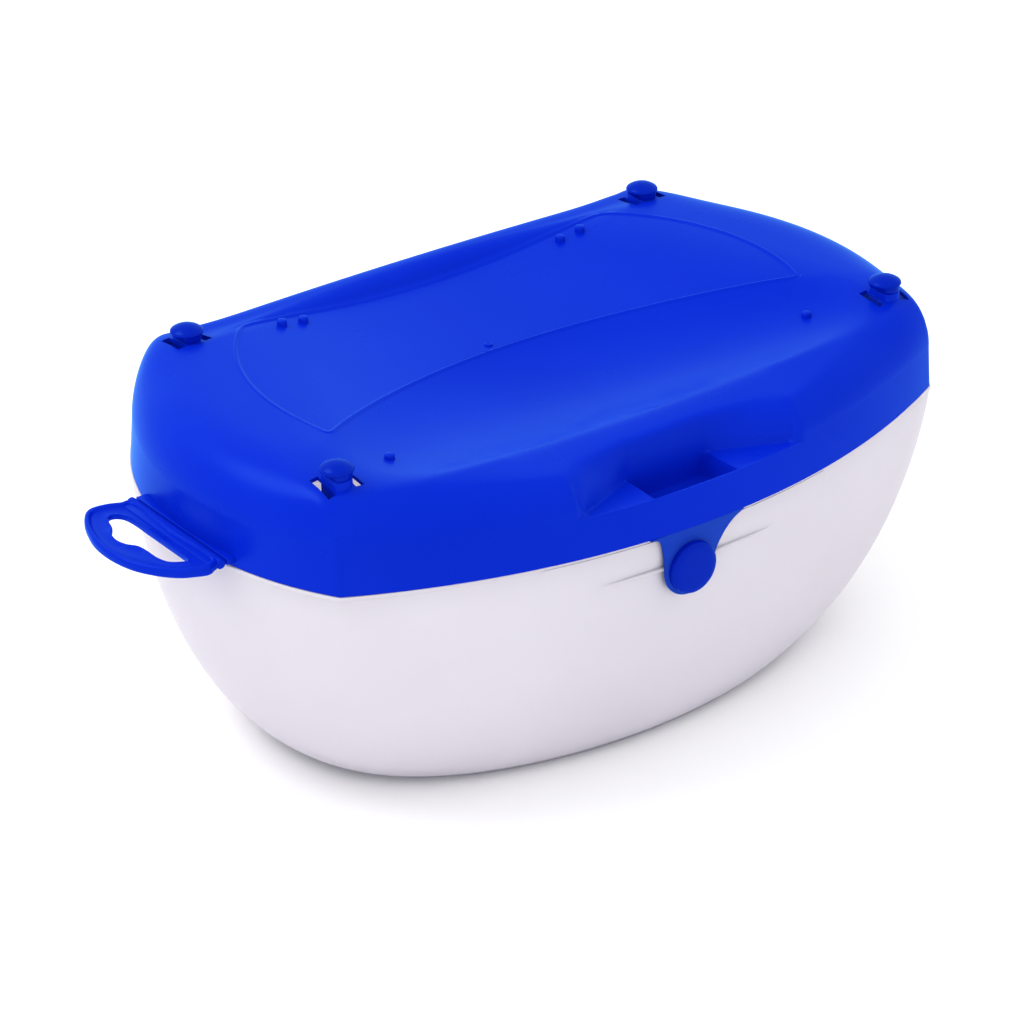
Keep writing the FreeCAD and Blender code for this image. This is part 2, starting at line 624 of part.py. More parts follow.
def build_latch_tab():
    """Flared flat tab with a rounded lower end, hung on a thin bead along its top edge."""
    axis_height = dim("latch_axis_height")
    end_radius = dim("latch_end_radius")
    thickness = dim("latch_thickness")
    top = dim("latch_top_half_width")
    waist = dim("latch_waist_half_width")
    drop = dim("latch_waist_drop")
    shift = dim("button_shift")
    centre_drop = axis_height - dim("button_height")
    right_end = V(shift + end_radius, 0, -centre_drop)
    left_end = V(shift - end_radius, 0, -centre_drop)
    right_waist = V(shift + waist, 0, -drop)
    left_waist = V(shift - waist, 0, -drop)
    right_flare = V((top + right_waist.x) / 2 - FLARE_HOLLOW, 0, -drop * FLARE_SHARE)
    left_flare = V((left_waist.x - top) / 2 + FLARE_HOLLOW, 0, -drop * FLARE_SHARE)
    outline_wire = Part.Wire([
        Part.makeLine(V(-top, 0, 0), V(top, 0, 0)),
        Part.Arc(V(top, 0, 0), right_flare, right_waist).toShape(),
        Part.makeLine(right_waist, right_end),
        Part.Arc(right_end, V(shift, 0, -centre_drop - end_radius), left_end).toShape(),
        Part.makeLine(left_end, left_waist),
        Part.Arc(left_waist, left_flare, V(-top, 0, 0)).toShape(),
    ])
    plate = Part.Face(outline_wire).extrude(V(0, thickness, 0))
    bead = Part.makeCylinder(thickness / 2, 2 * top, V(-top, thickness / 2, 0), V(1, 0, 0))
    past = dim("cut_past")
    hole = Part.makeCylinder(dim("button_stem_radius"), thickness + 2 * past, V(shift, -past, -centre_drop),
                             V(0, 1, 0))
    tab = doc.addObject("Part::Feature", "LatchTab")
    tab.Shape = plate.fuse(bead).cut(hole).removeSplitter()
    return bind(tab, x="$latch_centre_x", y="$latch_outer_y", z="$latch_axis_height")


def build_latch_button():
    centre_x = "$latch_centre_x + $button_shift"
    disc = cylinder("ButtonDisc", centre_x, "$latch_outer_y - $button_thickness", "$button_height",
                    "$button_radius", "$button_thickness", "Y")
    stem = cylinder("ButtonStem", centre_x, "$latch_outer_y - $press_fit", "$button_height",
                    "$button_stem_radius + $press_fit", "$latch_thickness + $press_fit", "Y")
    doc.recompute()
    rounded = doc.addObject("Part::Fillet", "ButtonRounded")
    rounded.Base = disc
    front = min(range(len(disc.Shape.Edges)),
                key=lambda i: (disc.Shape.Edges[i].Closed is False, disc.Shape.Edges[i].CenterOfMass.y))
    rounded.Edges = [(front + 1, dim("button_rounding"), dim("button_rounding"))]
    return fuse("LatchButton", [rounded, stem])


# ---------------------------------------------------------------- build, check and write
sub_parts = {
    "tub": build_tub(),
    "left_hinge_pin": build_hinge_pin("Left", -1),
    "right_hinge_pin": build_hinge_pin("Right", 1),
    "lid": build_lid(),
    "carry_handle": build_handle(),
    "latch_tab": build_latch_tab(),
    "latch_button": build_latch_button(),
}
for stud_name in STUDS:
    sub_parts[stud_name] = build_stud(stud_name)
doc.recompute()

for label, sub_part in sub_parts.items():
    sub_part.Label = label
doc.recompute()

broken = [obj.Name for obj in doc.Objects if "Invalid" in obj.State or "Error" in obj.State]
if broken:
    raise RuntimeError("objects failed to compute: " + ", ".join(broken))
for label, sub_part in sub_parts.items():
    shape = sub_part.Shape
    if shape.isNull() or not shape.isValid() or len(shape.Solids) != 1:
        raise RuntimeError("%s is not one valid solid (%d solids)" % (label, len(shape.Solids)))

os.makedirs("parts", exist_ok=True)
for label, sub_part in sub_parts.items():
    sub_part.Shape.exportStep("parts/%s.step" % label)
    bounds = sub_part.Shape.BoundBox
    print("%-18s %8.1f mm3  x %.1f..%.1f  y %.1f..%.1f  z %.1f..%.1f" % (
        label, sub_part.Shape.Volume, bounds.XMin, bounds.XMax, bounds.YMin, bounds.YMax,
        bounds.ZMin, bounds.ZMax))
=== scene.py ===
"""Looks for a hand-carried play-sand box: a translucent tub, a dished blue lid, four studs,
a carry handle and a swing-up latch. Lengths are in millimetres, and build_mesh turns them into metres."""
import math
import bpy
import bmesh
import numpy as np
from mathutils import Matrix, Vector


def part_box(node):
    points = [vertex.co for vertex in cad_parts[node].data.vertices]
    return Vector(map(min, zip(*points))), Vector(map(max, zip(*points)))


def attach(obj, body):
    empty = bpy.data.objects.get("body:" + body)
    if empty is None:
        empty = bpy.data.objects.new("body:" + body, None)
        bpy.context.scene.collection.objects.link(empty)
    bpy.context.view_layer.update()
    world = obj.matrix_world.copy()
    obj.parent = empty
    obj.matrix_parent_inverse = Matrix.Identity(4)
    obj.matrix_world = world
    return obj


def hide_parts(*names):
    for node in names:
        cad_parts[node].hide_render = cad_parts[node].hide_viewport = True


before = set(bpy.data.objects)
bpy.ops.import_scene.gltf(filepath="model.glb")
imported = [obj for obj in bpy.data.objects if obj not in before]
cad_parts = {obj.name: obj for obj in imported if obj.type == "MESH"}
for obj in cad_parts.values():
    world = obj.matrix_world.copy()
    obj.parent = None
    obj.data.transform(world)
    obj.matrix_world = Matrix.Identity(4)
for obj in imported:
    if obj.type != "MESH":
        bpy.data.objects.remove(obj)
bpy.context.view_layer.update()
MM = 0.001


def box_mm(node):
    """Lowest and highest corners of a CAD node, in millimetres."""
    low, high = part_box(node)
    return np.array(low) / MM, np.array(high) / MM


# ---------------- driving dimensions
RIM = 132.3                 # lower edge of the lid's skirt
LID_RISE = 49.2             # rim to the top of the shoulder
WALL = 2.0
SMOOTH_ANGLE = 40.0         # edges sharper than this, in degrees, are shaded as creases
LID_FRONT = (0.0, 238.75, 384.5)        # arcs as centre x, centre y, radius
LID_END = (42.9, -13.75, 162.0)
LID_BACK = (0.0, -2128.75, 2236.0)

SKIRT_INSET, SKIRT_RISE = 1.7, 21.0     # where the drafted skirt turns into the shoulder
SHOULDER_WIDTH = 43.0
FRONT_EASE, BACK_EASE = 0.62, 2.4       # the shoulder is wider at the front and tighter at the back

DISH_FLOOR, DISH_RADIUS, DISH_SLOPE = 165.4, 543.0, 0.075
DISH_BACK = 78.0
BACK_WALL_SLOPE = 1.0
BACK_DIP = 2.2              # the back edge is this much lower between the back studs
RIDGE_Y, RIDGE_BEND = 6.0, 2.38e-3      # the panel's front ridge, a parabola
LIP_Y, LIP_FLOOR, LIP_RADIUS = -100.0, 172.2, 1800.0
LIP_FALL = 0.12             # the lip slopes down towards the front
BOWL_DEPTH, BOWL_FADE = 10.5, 3.6e-4
PANEL_TIP = (142.0, -42.4)
PANEL_BULGE = (147.6, -8.0)
PANEL_CORNER = (110.0, 78.0)

RECESS_X = -4.0
LEDGE = 151.8
WING_X, WING_Y = 69.6, -138.0
POCKET_X, POCKET_Y = 24.2, -118.8
POCKET_TOP_Y, WING_TOP_Y = -115.6, -122.0
SHOULDER_EDGE = 16.0
CORNER_SOFTNESS = 6.0
CORNER_FILL, CORNER_SPREAD = 0.8, 28.0  # the shoulder is fuller near the four corners
POCKET_FLOOR, POCKET_FRONT = 140.0, -141.6


# ---------------- small tools
def smooth_step(value, start, end):
    """0 before start, 1 after end and a smooth rise between them."""
    share = np.clip((value - start) / (end - start), 0, 1)
    return share * share * (3 - 2 * share)


def soft_min(a, b, width):
    """Smaller of two fields, with the crease between them rounded over a width."""
    share = np.clip(0.5 + 0.5 * (b - a) / width, 0, 1)
    return b + (a - b) * share - width * share * (1 - share)


def lerp(a, b, share):
    """The value a share of the way from a to b."""
    return a + (b - a) * share


def open_shares(count):
    """Even shares from 0 up to, but without, 1."""
    return np.linspace(0, 1, count, endpoint=False)


def spread(stops, steps):
    """Values that run through the stops, with a number of steps between each pair."""
    runs = [np.linspace(a, b, n, endpoint=False) for a, b, n in zip(stops, stops[1:], steps)]
    return np.concatenate(runs + [[stops[-1]]])


def resample(points, places):
    """Points of a polyline at the given shares of its length."""
    steps = np.linalg.norm(np.diff(points, axis=0), axis=1)
    along = np.concatenate([[0], np.cumsum(steps)])
    return np.stack([np.interp(places * along[-1], along, values) for values in points.T], -1)


def blur_rows(values, sigma):
    """Gaussian blur of a closed loop of values; sigma is in steps of the loop."""
    waves = np.fft.fftfreq(values.shape[0])
    gain = np.exp(-2 * (np.pi * waves * sigma) ** 2)
    return np.fft.ifft(np.fft.fft(values, axis=0) * gain[:, None], axis=0).real


# ---------------- outlines of four arcs
def crossing(first, second, outward):
    """Where two circles meet, on the side that outward points to."""
    a, b = np.array(first[:2]), np.array(second[:2])
    gap = np.linalg.norm(b - a)
    along = (first[2] ** 2 - second[2] ** 2 + gap ** 2) / (2 * gap)
    across = math.sqrt(first[2] ** 2 - along ** 2)
    axis = (b - a) / gap
    side = np.array([-axis[1], axis[0]]) * across
    foot = a + axis * along
    return max((foot + side, foot - side), key=lambda point: float(point @ np.array(outward)))


def arc_points(arc, start, end, shares):
    """Points at shares of the anticlockwise arc from start to end."""
    centre = np.array(arc[:2])
    first = math.atan2(*(start - centre)[::-1])
    last = math.atan2(*(end - centre)[::-1])
    if last < first:
        last += 2 * math.pi
    angle = first + (last - first) * shares
    return centre + arc[2] * np.stack([np.cos(angle), np.sin(angle)], -1)


def outline(front, end, back, shares):
    """Closed outline; shares gives where the columns stand on the front, right, back and left arcs."""
    left = (-end[0], end[1], end[2])
    front_right = crossing(front, end, (1, -1))
    back_right = crossing(back, end, (1, 1))
    front_left, back_left = front_right * (-1, 1), back_right * (-1, 1)
    runs = [arc_points(front, front_left, front_right, shares[0]),
            arc_points(end, front_right, back_right, shares[1]),
            arc_points(back, back_right, back_left, shares[2]),
            arc_points(left, back_left, front_left, shares[3])]
    return np.concatenate(runs)


# ---------------- meshes
def ring_faces(first, second):
    """Quads between two closed rings of vertex numbers."""
    return np.stack([first, np.roll(first, -1), np.roll(second, -1), second], -1)


def build_mesh(name, points, faces, smooth_angle=SMOOTH_ANGLE):
    """A mesh object from millimetre points and lists of vertex numbers."""
    mesh = bpy.data.meshes.new(name)
    corners = [tuple(p) for p in np.asarray(points) * MM]
    mesh.from_pydata(corners, [], [tuple(map(int, f)) for f in faces])
    mesh.validate()
    turn_outward(mesh)
    piece = bpy.data.objects.new(name, mesh)
    bpy.context.scene.collection.objects.link(piece)
    shade(piece, smooth_angle)
    return piece


def turn_outward(mesh):
    """Flips a closed mesh whose faces look inward, so that its gloss is right."""
    shape = bmesh.new()
    shape.from_mesh(mesh)
    if shape.calc_volume(signed=True) < 0:
        bmesh.ops.reverse_faces(shape, faces=shape.faces)
        shape.to_mesh(mesh)
    shape.free()


def shade(piece, smooth_angle=SMOOTH_ANGLE):
    """Smooth shading, broken at edges sharper than the angle."""
    mesh = piece.data
    mesh.polygons.foreach_set("use_smooth", np.ones(len(mesh.polygons), bool))
    mesh.set_sharp_from_angle(angle=math.radians(smooth_angle))
    mesh.update()


def apply_modifiers(piece):
    """Replaces the piece's mesh by its modified mesh."""
    bpy.context.view_layer.update()
    result = bpy.data.meshes.new_from_object(piece.evaluated_get(bpy.context.evaluated_depsgraph_get()))
    piece.modifiers.clear()
    piece.data = result


def grid_shell(rings):
    """Points, vertex numbers and quads of equally long closed rings joined in order, open at both ends."""
    rows, columns = rings.shape[:2]
    numbers = np.arange(rows * columns).reshape(rows, columns)
    faces = [ring_faces(numbers[i], numbers[i + 1]) for i in range(rows - 1)]
    return rings.reshape(-1, 3), numbers, [tuple(f) for f in np.concatenate(faces)]


def cut(piece, cutter):
    """Cuts the cutter's shape out of the piece and removes the cutter."""
    modifier = piece.modifiers.new("cut", "BOOLEAN")
    modifier.operation = "DIFFERENCE"
    modifier.solver = "EXACT"
    modifier.object = cutter
    apply_modifiers(piece)
    bpy.data.objects.remove(cutter)


def join(pieces, name):
    """Joins meshes into one object."""
    points, faces = [], []
    for piece in pieces:
        start = len(points)
        points += [piece.matrix_world @ v.co for v in piece.data.vertices]
        faces += [tuple(start + i for i in p.vertices) for p in piece.data.polygons]
        bpy.data.objects.remove(piece)
    return build_mesh(name, np.array(points) / MM, faces)


def block(name, low, high, edge=0.0):
    """A rectangular block between two corners; edge is the radius of its rounded edges."""
    x0, y0, z0 = low
    x1, y1, z1 = high
    points = [(x, y, z) for z in (z0, z1) for x, y in ((x0, y0), (x1, y0), (x1, y1), (x0, y1))]
    faces = [(3, 2, 1, 0), (4, 5, 6, 7), (0, 1, 5, 4), (1, 2, 6, 5), (2, 3, 7, 6), (3, 0, 4, 7)]
    piece = build_mesh(name, points, faces)
    if edge:
        soften(piece, edge)
    return piece


def soften(piece, radius, segments=3):
    """Rounds a piece's edges."""
    modifier = piece.modifiers.new("edge", "BEVEL")
    modifier.width = radius * MM
    modifier.segments = segments
    modifier.limit_method = "ANGLE"
    modifier.angle_limit = math.radians(35)
    apply_modifiers(piece)
    shade(piece)


def turned(name, profile, centre, axis="Z", steps=64):
    """A solid of revolution about Z or -Y; profile is (radius, height) from the low end to the high end."""
    profile = np.array(profile, float)
    angle = np.linspace(0, 2 * math.pi, steps, endpoint=False)
    rings = np.stack([profile[1:-1, None, 0] * np.cos(angle), profile[1:-1, None, 0] * np.sin(angle),
                      np.repeat(profile[1:-1, 1:], steps, 1)], -1)
    points, numbers, faces = grid_shell(rings)
    points = np.concatenate([points, [(0, 0, profile[0, 1]), (0, 0, profile[-1, 1])]])
    low, high = len(points) - 2, len(points) - 1
    faces += [(low, b, a) for a, b in zip(numbers[0], np.roll(numbers[0], -1))]
    faces += [(high, a, b) for a, b in zip(numbers[-1], np.roll(numbers[-1], -1))]
    if axis == "-Y":
        points = points[:, [0, 2, 1]] * (1, -1, 1)
    return build_mesh(name, points + np.array(centre), faces)


# ---------------- lid surface
def lid_columns():
    """Shares of the columns on the front, right, back and left arcs, closest where the finger recess is."""
    front_right = crossing(LID_FRONT, LID_END, (1, -1))
    half = math.asin(front_right[0] / LID_FRONT[2])
    wall, margin = 0.35, 4      # from the pocket's side: to its wall's foot, and to even columns again
    wing = WING_X + 6
    left, right = RECESS_X - POCKET_X, RECESS_X + POCKET_X
    stops = [-front_right[0], RECESS_X - wing, left - margin, left - wall, left + wall, left + margin,
             right - margin, right - wall, right + wall, right + margin, RECESS_X + wing, front_right[0]]
    x = spread(stops, [56, 44, 6, 1, 6, 34, 6, 1, 6, 44, 60])[:-1]
    front = 0.5 + np.arcsin(x / LID_FRONT[2]) / (2 * half)
    end, back = open_shares(104), open_shares(130)
    return [front, end, back, end]


def circle_through(a, b, c):
    """The circle (centre x, centre y, radius) through three points."""
    rows = np.array([[b[0] - a[0], b[1] - a[1]], [c[0] - a[0], c[1] - a[1]]]) * 2
    sums = np.array([b[0] ** 2 + b[1] ** 2 - a[0] ** 2 - a[1] ** 2,
                     c[0] ** 2 + c[1] ** 2 - a[0] ** 2 - a[1] ** 2])
    centre = np.linalg.solve(rows, sums)
    return centre[0], centre[1], math.dist(centre, a)


def ridge_line(x):
    """The y of the panel's front ridge."""
    return RIDGE_Y - RIDGE_BEND * x ** 2


def panel_outline(shares, offset):
    """The dished panel's edge, moved out by offset: front ridge, two bulging ends and a straight back."""
    tip, corner = np.array(PANEL_TIP), np.array(PANEL_CORNER)
    end = circle_through(PANEL_TIP, PANEL_BULGE, PANEL_CORNER)
    x = lerp(-tip[0], tip[0], shares[0])
    front = np.stack([x, ridge_line(x)], -1)
    right = arc_points(end, tip, corner, shares[1])
    back = np.stack([lerp(corner[0], -corner[0], shares[2]), np.full(len(shares[2]), corner[1])], -1)
    mirror = (-1, 1)
    left = arc_points((-end[0], end[1], end[2]), corner * mirror, tip * mirror, shares[3])
    loop = blur_rows(np.concatenate([front, right, back, left]), 2.0)
    ahead = np.roll(loop, -1, 0) - np.roll(loop, 1, 0)
    outward = np.stack([ahead[:, 1], -ahead[:, 0]], -1) / np.linalg.norm(ahead, axis=1)[:, None]
    return loop + outward * offset


def inset_of(points, softness):
    """How far in from the rim points are, scaled so that each ring of the shoulder has one value."""
    x, y = points[..., 0], points[..., 1]

    def depth(arc, side):
        return arc[2] - np.hypot(side - arc[0], y - arc[1])

    front = depth(LID_FRONT, x) * FRONT_EASE
    end = depth(LID_END, np.abs(x))
    back = depth(LID_BACK, x) * BACK_EASE
    corners = crossing(LID_FRONT, LID_END, (1, -1)), crossing(LID_BACK, LID_END, (1, 1))
    near = sum(np.exp(-((np.abs(x) - corner[0]) ** 2 + (y - corner[1]) ** 2) / CORNER_SPREAD ** 2)
               for corner in corners)
    return soft_min(soft_min(front, end, softness), back, softness) * (1 + CORNER_FILL * near)


def shoulder_rise(inset):
    """Rise above the rim at a scaled inset: a drafted skirt, then a superelliptic shoulder."""
    share = np.clip((inset - SKIRT_INSET) / SHOULDER_WIDTH, 0, 1)
    shoulder = SKIRT_RISE + (LID_RISE - SKIRT_RISE) * (1 - (1 - share) ** 3.2) ** (1 / 1.75)
    skirt = SKIRT_RISE * np.clip(inset / SKIRT_INSET, 0, 1)
    return np.where(inset < SKIRT_INSET, skirt, shoulder)


def dish_height(x, y):
    """Height of the dished top where nothing else is lower: panel, front bowl, lip and back wall."""
    ridge = ridge_line(x)
    panel = DISH_FLOOR + x ** 2 / (2 * DISH_RADIUS) + DISH_SLOPE * y
    panel_front = DISH_FLOOR + x ** 2 / (2 * DISH_RADIUS) + DISH_SLOPE * ridge
    crest = LIP_FLOOR + x ** 2 / (2 * LIP_RADIUS)
    lip = crest - LIP_FALL * (LIP_Y - y)
    share = (ridge - y) / (ridge - LIP_Y)
    depth = np.maximum(BOWL_DEPTH - BOWL_FADE * x ** 2, 0)
    bowl = lerp(panel_front, crest, share) - 4 * depth * share * (1 - share)
    front = soft_min(bowl, lip, 1.2)
    back = panel + BACK_WALL_SLOPE * np.maximum(y - DISH_BACK, 0)
    return np.where(y < ridge, front, back)


def top_height(points, inset):
    """Height of the lid's outside over plan points."""
    x, y = points[..., 0], points[..., 1]
    softness = 5 * smooth_step(inset, 3, 20) + 0.01
    dip = BACK_DIP * smooth_step(y, 70, 86)
    dip = dip * (1 - smooth_step(np.abs(x), 134, 150)) * smooth_step(inset, 3, 24)
    return soft_min(RIM + shoulder_rise(inset) - dip, dish_height(x, y), softness)


RING_COUNTS = {"skirt": 9, "ledge": 4, "pocket_front": 5, "pocket_floor": 8, "pocket_back": 5, "wall": 14,
               "lip": 40}
LEDGE_GROUPS = [RING_COUNTS[name] for name in ("ledge", "pocket_front", "pocket_floor", "pocket_back")]
POCKET_DRAFT = 0.4          # how far the pocket's front and back walls lean


def shoulder_sections(grow):
    """Plan origin and heading of every column, and its section (reach, height) from rim to panel."""
    shares = lid_columns()
    rim = outline(LID_FRONT, LID_END, LID_BACK, shares)
    run = panel_outline(shares, 2.2) - rim
    length = np.linalg.norm(run, axis=1)
    heading = run / length[:, None]
    level = np.concatenate([np.linspace(0.0, SKIRT_INSET, 12, endpoint=False),
                            SKIRT_INSET + SHOULDER_WIDTH * np.linspace(0, 1, 70) ** 2.0])
    softness = (0.3 + CORNER_SOFTNESS * smooth_step(level, SKIRT_INSET, SHOULDER_WIDTH))[:, None]
    low = np.zeros((len(level), len(rim)))
    high = np.ones_like(low) * length * 0.97
    for _ in range(36):
        middle = (low + high) / 2
        depth = inset_of(rim + heading * middle[..., None], softness)
        low = np.where(depth < level[:, None], middle, low)
        high = np.where(depth < level[:, None], high, middle)
    reach = np.maximum.accumulate((low + high) / 2, axis=0)
    reach[0] = 0
    inner = np.linspace(0, 1, 90)[1:, None]
    reach = np.concatenate([reach, lerp(reach[-1], length, inner)])
    plan = rim + heading * reach[..., None]
    insets = np.concatenate([np.repeat(level[:, None], len(rim), 1),
                             np.full((len(inner), len(rim)), level[-1])])
    height = top_height(plan, insets)
    if grow:
        slope_run = np.gradient(reach, axis=0)
        slope_rise = np.gradient(height, axis=0)
        size = np.hypot(slope_run, slope_rise) + 1e-9
        reach = reach + grow * slope_rise / size
        height = height - grow * slope_run / size
        height[0] = RIM
    return rim, heading, reach, height


def at_height(reach, height, level):
    """Reach at which a column's skirt passes a height."""
    return float(np.interp(level, height[:60], reach[:60]))


def between(reach, height, start, end):
    """A column's own section between two reaches, as points."""
    places = np.concatenate([[start], reach[(reach > start + 0.02) & (reach < end - 0.02)], [end]])
    return np.stack([places, np.interp(places, reach, height)], -1)


def lid_grid(grow):
    """Rings from rim to panel edge of the lid's outside, or of its inside when grow is the wall."""
    rim, heading, reach, height = shoulder_sections(0.0)
    side = np.abs(rim[:, 0] - RECESS_X)
    front = rim[:, 1] < -95
    wing = np.where(front, np.clip((side - POCKET_X) / (WING_X - POCKET_X), 0, 1), 1.0)
    foot = np.array([at_height(reach[:, k], height[:, k], LEDGE) for k in range(len(rim))])
    base = (lerp(POCKET_Y, WING_Y, wing) - rim[:, 1]) / heading[:, 1]
    ledge_width = np.where(wing < 1, np.maximum(base - foot, 0), 0)
    edge = (lerp(POCKET_TOP_Y, WING_TOP_Y, wing) - rim[:, 1]) / heading[:, 1]
    edge = np.where(front & (wing < 1), edge, SHOULDER_EDGE)
    edge = np.where(wing < 1, edge, blur_rows(edge[:, None], 6)[:, 0])
    if grow:
        rim, heading, reach, height = shoulder_sections(grow)
        edge = edge + 0.7 * grow
    count = sum(RING_COUNTS.values()) + 1
    rings = np.zeros((count, len(rim), 3))
    for k in range(len(rim)):
        path = column_points(reach[:, k], height[:, k], wing[k], ledge_width[k], edge[k],
                             side[k] if front[k] else math.inf, rim[k, 1], heading[k, 1], grow)
        rings[:, k, :2] = rim[k] + heading[k] * path[:, :1]
        rings[:, k, 2] = path[:, 1]
    return rings


def column_points(reach, height, wing, ledge_width, edge, side, rim_y, heading_y, grow):
    """Ring points up one column: skirt, ledge (or pocket), recess wall and lip."""
    ledge, floor = LEDGE - grow, POCKET_FLOOR - grow
    foot = at_height(reach, height, ledge)
    base = foot + ledge_width
    edge = max(edge, base + 2.0)
    wall = recess_wall(between(reach, height, foot, edge), foot, base, edge, ledge, wing)
    front_wall = (POCKET_FRONT - grow - rim_y) / heading_y
    in_pocket = side < POCKET_X + grow
    skirt = between(reach, height, 0.0, foot)
    if in_pocket and front_wall > foot + 0.2:
        shelf = whole_pocket(foot, front_wall, base, ledge, floor)
    elif in_pocket:
        low_foot = at_height(reach, height, floor)
        skirt, shelf = open_pocket(between(reach, height, 0.0, low_foot), low_foot, base, ledge, floor)
    else:
        near = 1 - smooth_step(side - POCKET_X - grow, 0, 8)
        shelf = plain_ledge(foot, front_wall, base, ledge, near if ledge_width > 4 else 0)
    crisp = np.concatenate([shelf, resample(wall, open_shares(RING_COUNTS["wall"]))])
    if not in_pocket:
        whole = np.concatenate([[(foot, ledge)], wall[wall[:, 0] > foot + 1e-6]])
        crisp = lerp(resample(whole, open_shares(len(crisp))), crisp, smooth_step(ledge_width, 0.0, 4.0))
    lip = between(reach, height, edge, reach[-1])
    return np.concatenate([resample(skirt, open_shares(RING_COUNTS["skirt"])), crisp,
                           resample(lip, np.linspace(0, 1, RING_COUNTS["lip"] + 1) ** 1.25)])


def recess_wall(dome, foot, base, edge, ledge, wing):
    """Wall over the ledge: straight at the pocket (wing 0), the shoulder's own dome at the wing's tip."""
    shares = np.linspace(0, 1, 40)
    straight = np.stack([lerp(base, edge, shares), lerp(ledge, dome[-1, 1], shares)], -1)
    bulged = resample(dome, shares)
    bulged[:, 0] = base + (bulged[:, 0] - foot) * (edge - base) / (edge - foot)
    return lerp(straight, bulged, smooth_step(wing, 0.35, 1.0))


def whole_pocket(foot, front_wall, base, ledge, floor):
    """A strip of ledge, then the pocket's front wall, floor and back wall."""
    stops = [(foot, ledge), (front_wall, ledge), (front_wall + POCKET_DRAFT, floor),
             (base - POCKET_DRAFT, floor), (base, ledge)]
    return np.concatenate([resample(np.array(run), open_shares(count))
                           for run, count in zip(zip(stops, stops[1:]), LEDGE_GROUPS)])


def open_pocket(skirt, foot, base, ledge, floor):
    """Where the pocket runs out through the skirt: the lower skirt, and its top with the pocket."""
    strip = LEDGE_GROUPS[0] + LEDGE_GROUPS[1]
    split = RING_COUNTS["skirt"] / (RING_COUNTS["skirt"] + strip)
    upper = resample(skirt, np.linspace(split, 1, strip, endpoint=False))
    back = (base - POCKET_DRAFT, floor)
    runs = [np.array([(foot, floor), back]), np.array([back, (base, ledge)])]
    rest = [resample(run, open_shares(count)) for run, count in zip(runs, LEDGE_GROUPS[2:])]
    return resample(skirt, np.linspace(0, split, 20)), np.concatenate([upper] + rest)


def plain_ledge(foot, front_wall, base, ledge, near):
    """A flat ledge, with its rings drawn to the pocket's walls where near is 1."""
    front_wall = min(max(front_wall, foot + 0.2), base)
    stops = (foot, front_wall, front_wall + POCKET_DRAFT, base - POCKET_DRAFT, base)
    aligned = spread(stops, LEDGE_GROUPS)[:-1]
    places = lerp(lerp(foot, base, open_shares(len(aligned))), aligned, near)
    return np.stack([places, np.full(len(places), ledge)], -1)


def soften_recess(rings):
    """Rounds the recess's creases by averaging neighbouring points of the grid around it."""
    skirt = RING_COUNTS["skirt"]
    row = np.arange(rings.shape[0])[:, None]
    wall_row = skirt + sum(LEDGE_GROUPS)
    side = np.abs(rings[:, :, 0] - RECESS_X)
    inside = 1 - smooth_step(side, WING_X + 4, WING_X + 14)
    front = 1 - smooth_step(rings[:, :, 1], -108, -90)
    weight = inside * front * smooth_step(row, skirt - 1, skirt + 1)
    for turn in range(10):
        share = weight * 0.5 if turn < 2 else weight * smooth_step(row, wall_row + 1, wall_row + 5)
        mean = sum(np.roll(rings, step, axis) for axis in (1, 0) for step in (1, -1)) / 4
        rings = lerp(rings, mean, 0.6 * share[..., None])
    return rings


def panel_rings():
    """Rings, each with its lift, from the panel's edge bead in to a short spine at its middle."""
    shares = lid_columns()
    bead = ((1.0, 0.0), (0.6, 0.35), (0.0, 0.5), (-0.6, 0.35), (-1.0, -0.1))
    rings = [(panel_outline(shares, offset), lift) for offset, lift in bead]
    inner_loop = rings[-1][0]
    spine = np.stack([np.clip(inner_loop[:, 0], -88, 88), np.full(len(inner_loop), 30.0)], -1)
    for share in np.append(0.014, np.linspace(0, 1, 32)[1:-1]):
        rings.append((lerp(inner_loop, spine, share), -0.35))
    return rings


def lid_surface():
    """The lid's closed shell: outside, inside 2 mm below it, and the rim between them."""
    grids = []
    for grow in (0.0, WALL):
        rings = soften_recess(lid_grid(grow))
        panel = []
        for loop, lift in panel_rings():
            inset = np.full(len(loop), SHOULDER_WIDTH + SKIRT_INSET)
            z = top_height(loop, inset) + (lift if not grow else 0) - grow
            panel.append(np.concatenate([loop, z[:, None]], -1))
        grids.append(np.concatenate([rings, np.array(panel)]))
    outer, inner = grids
    rows, columns = outer.shape[:2]
    points = np.concatenate([outer.reshape(-1, 3), inner.reshape(-1, 3)])
    first = np.arange(rows * columns).reshape(rows, columns)
    second = first + rows * columns
    faces = [ring_faces(first[i], first[i + 1]) for i in range(rows - 1)]
    faces += [ring_faces(second[i + 1], second[i]) for i in range(rows - 1)]
    faces.append(ring_faces(second[0], first[0]))
    faces = [tuple(f) for f in np.concatenate(faces)]
    faces += spine_faces(first[-1], points)
    faces += [tuple(reversed(f)) for f in spine_faces(second[-1], points)]
    return build_mesh("lid_shell", points, faces)


def spine_faces(ring, points):
    """Closes the last ring, a thin loop round the spine, with triangles from its front to its back."""
    x = points[ring][:, 0]
    order = np.roll(ring, -int(np.argmin(x)))
    turn = int(np.argmax(points[order][:, 0]))
    front = list(order[:turn + 1])
    back = [order[0]] + list(order[:turn - 1:-1])
    faces = []
    i = j = 0
    while i < len(front) - 1 or j < len(back) - 1:
        next_front = points[front[i + 1]][0] if i < len(front) - 1 else math.inf
        next_back = points[back[j + 1]][0] if j < len(back) - 1 else math.inf
        if next_front <= next_back:
            triangle = (front[i], front[i + 1], back[j])
            i += 1
        else:
            triangle = (front[i], back[j + 1], back[j])
            j += 1
        if len(set(triangle)) == 3:
            faces.append(triangle)
    return faces


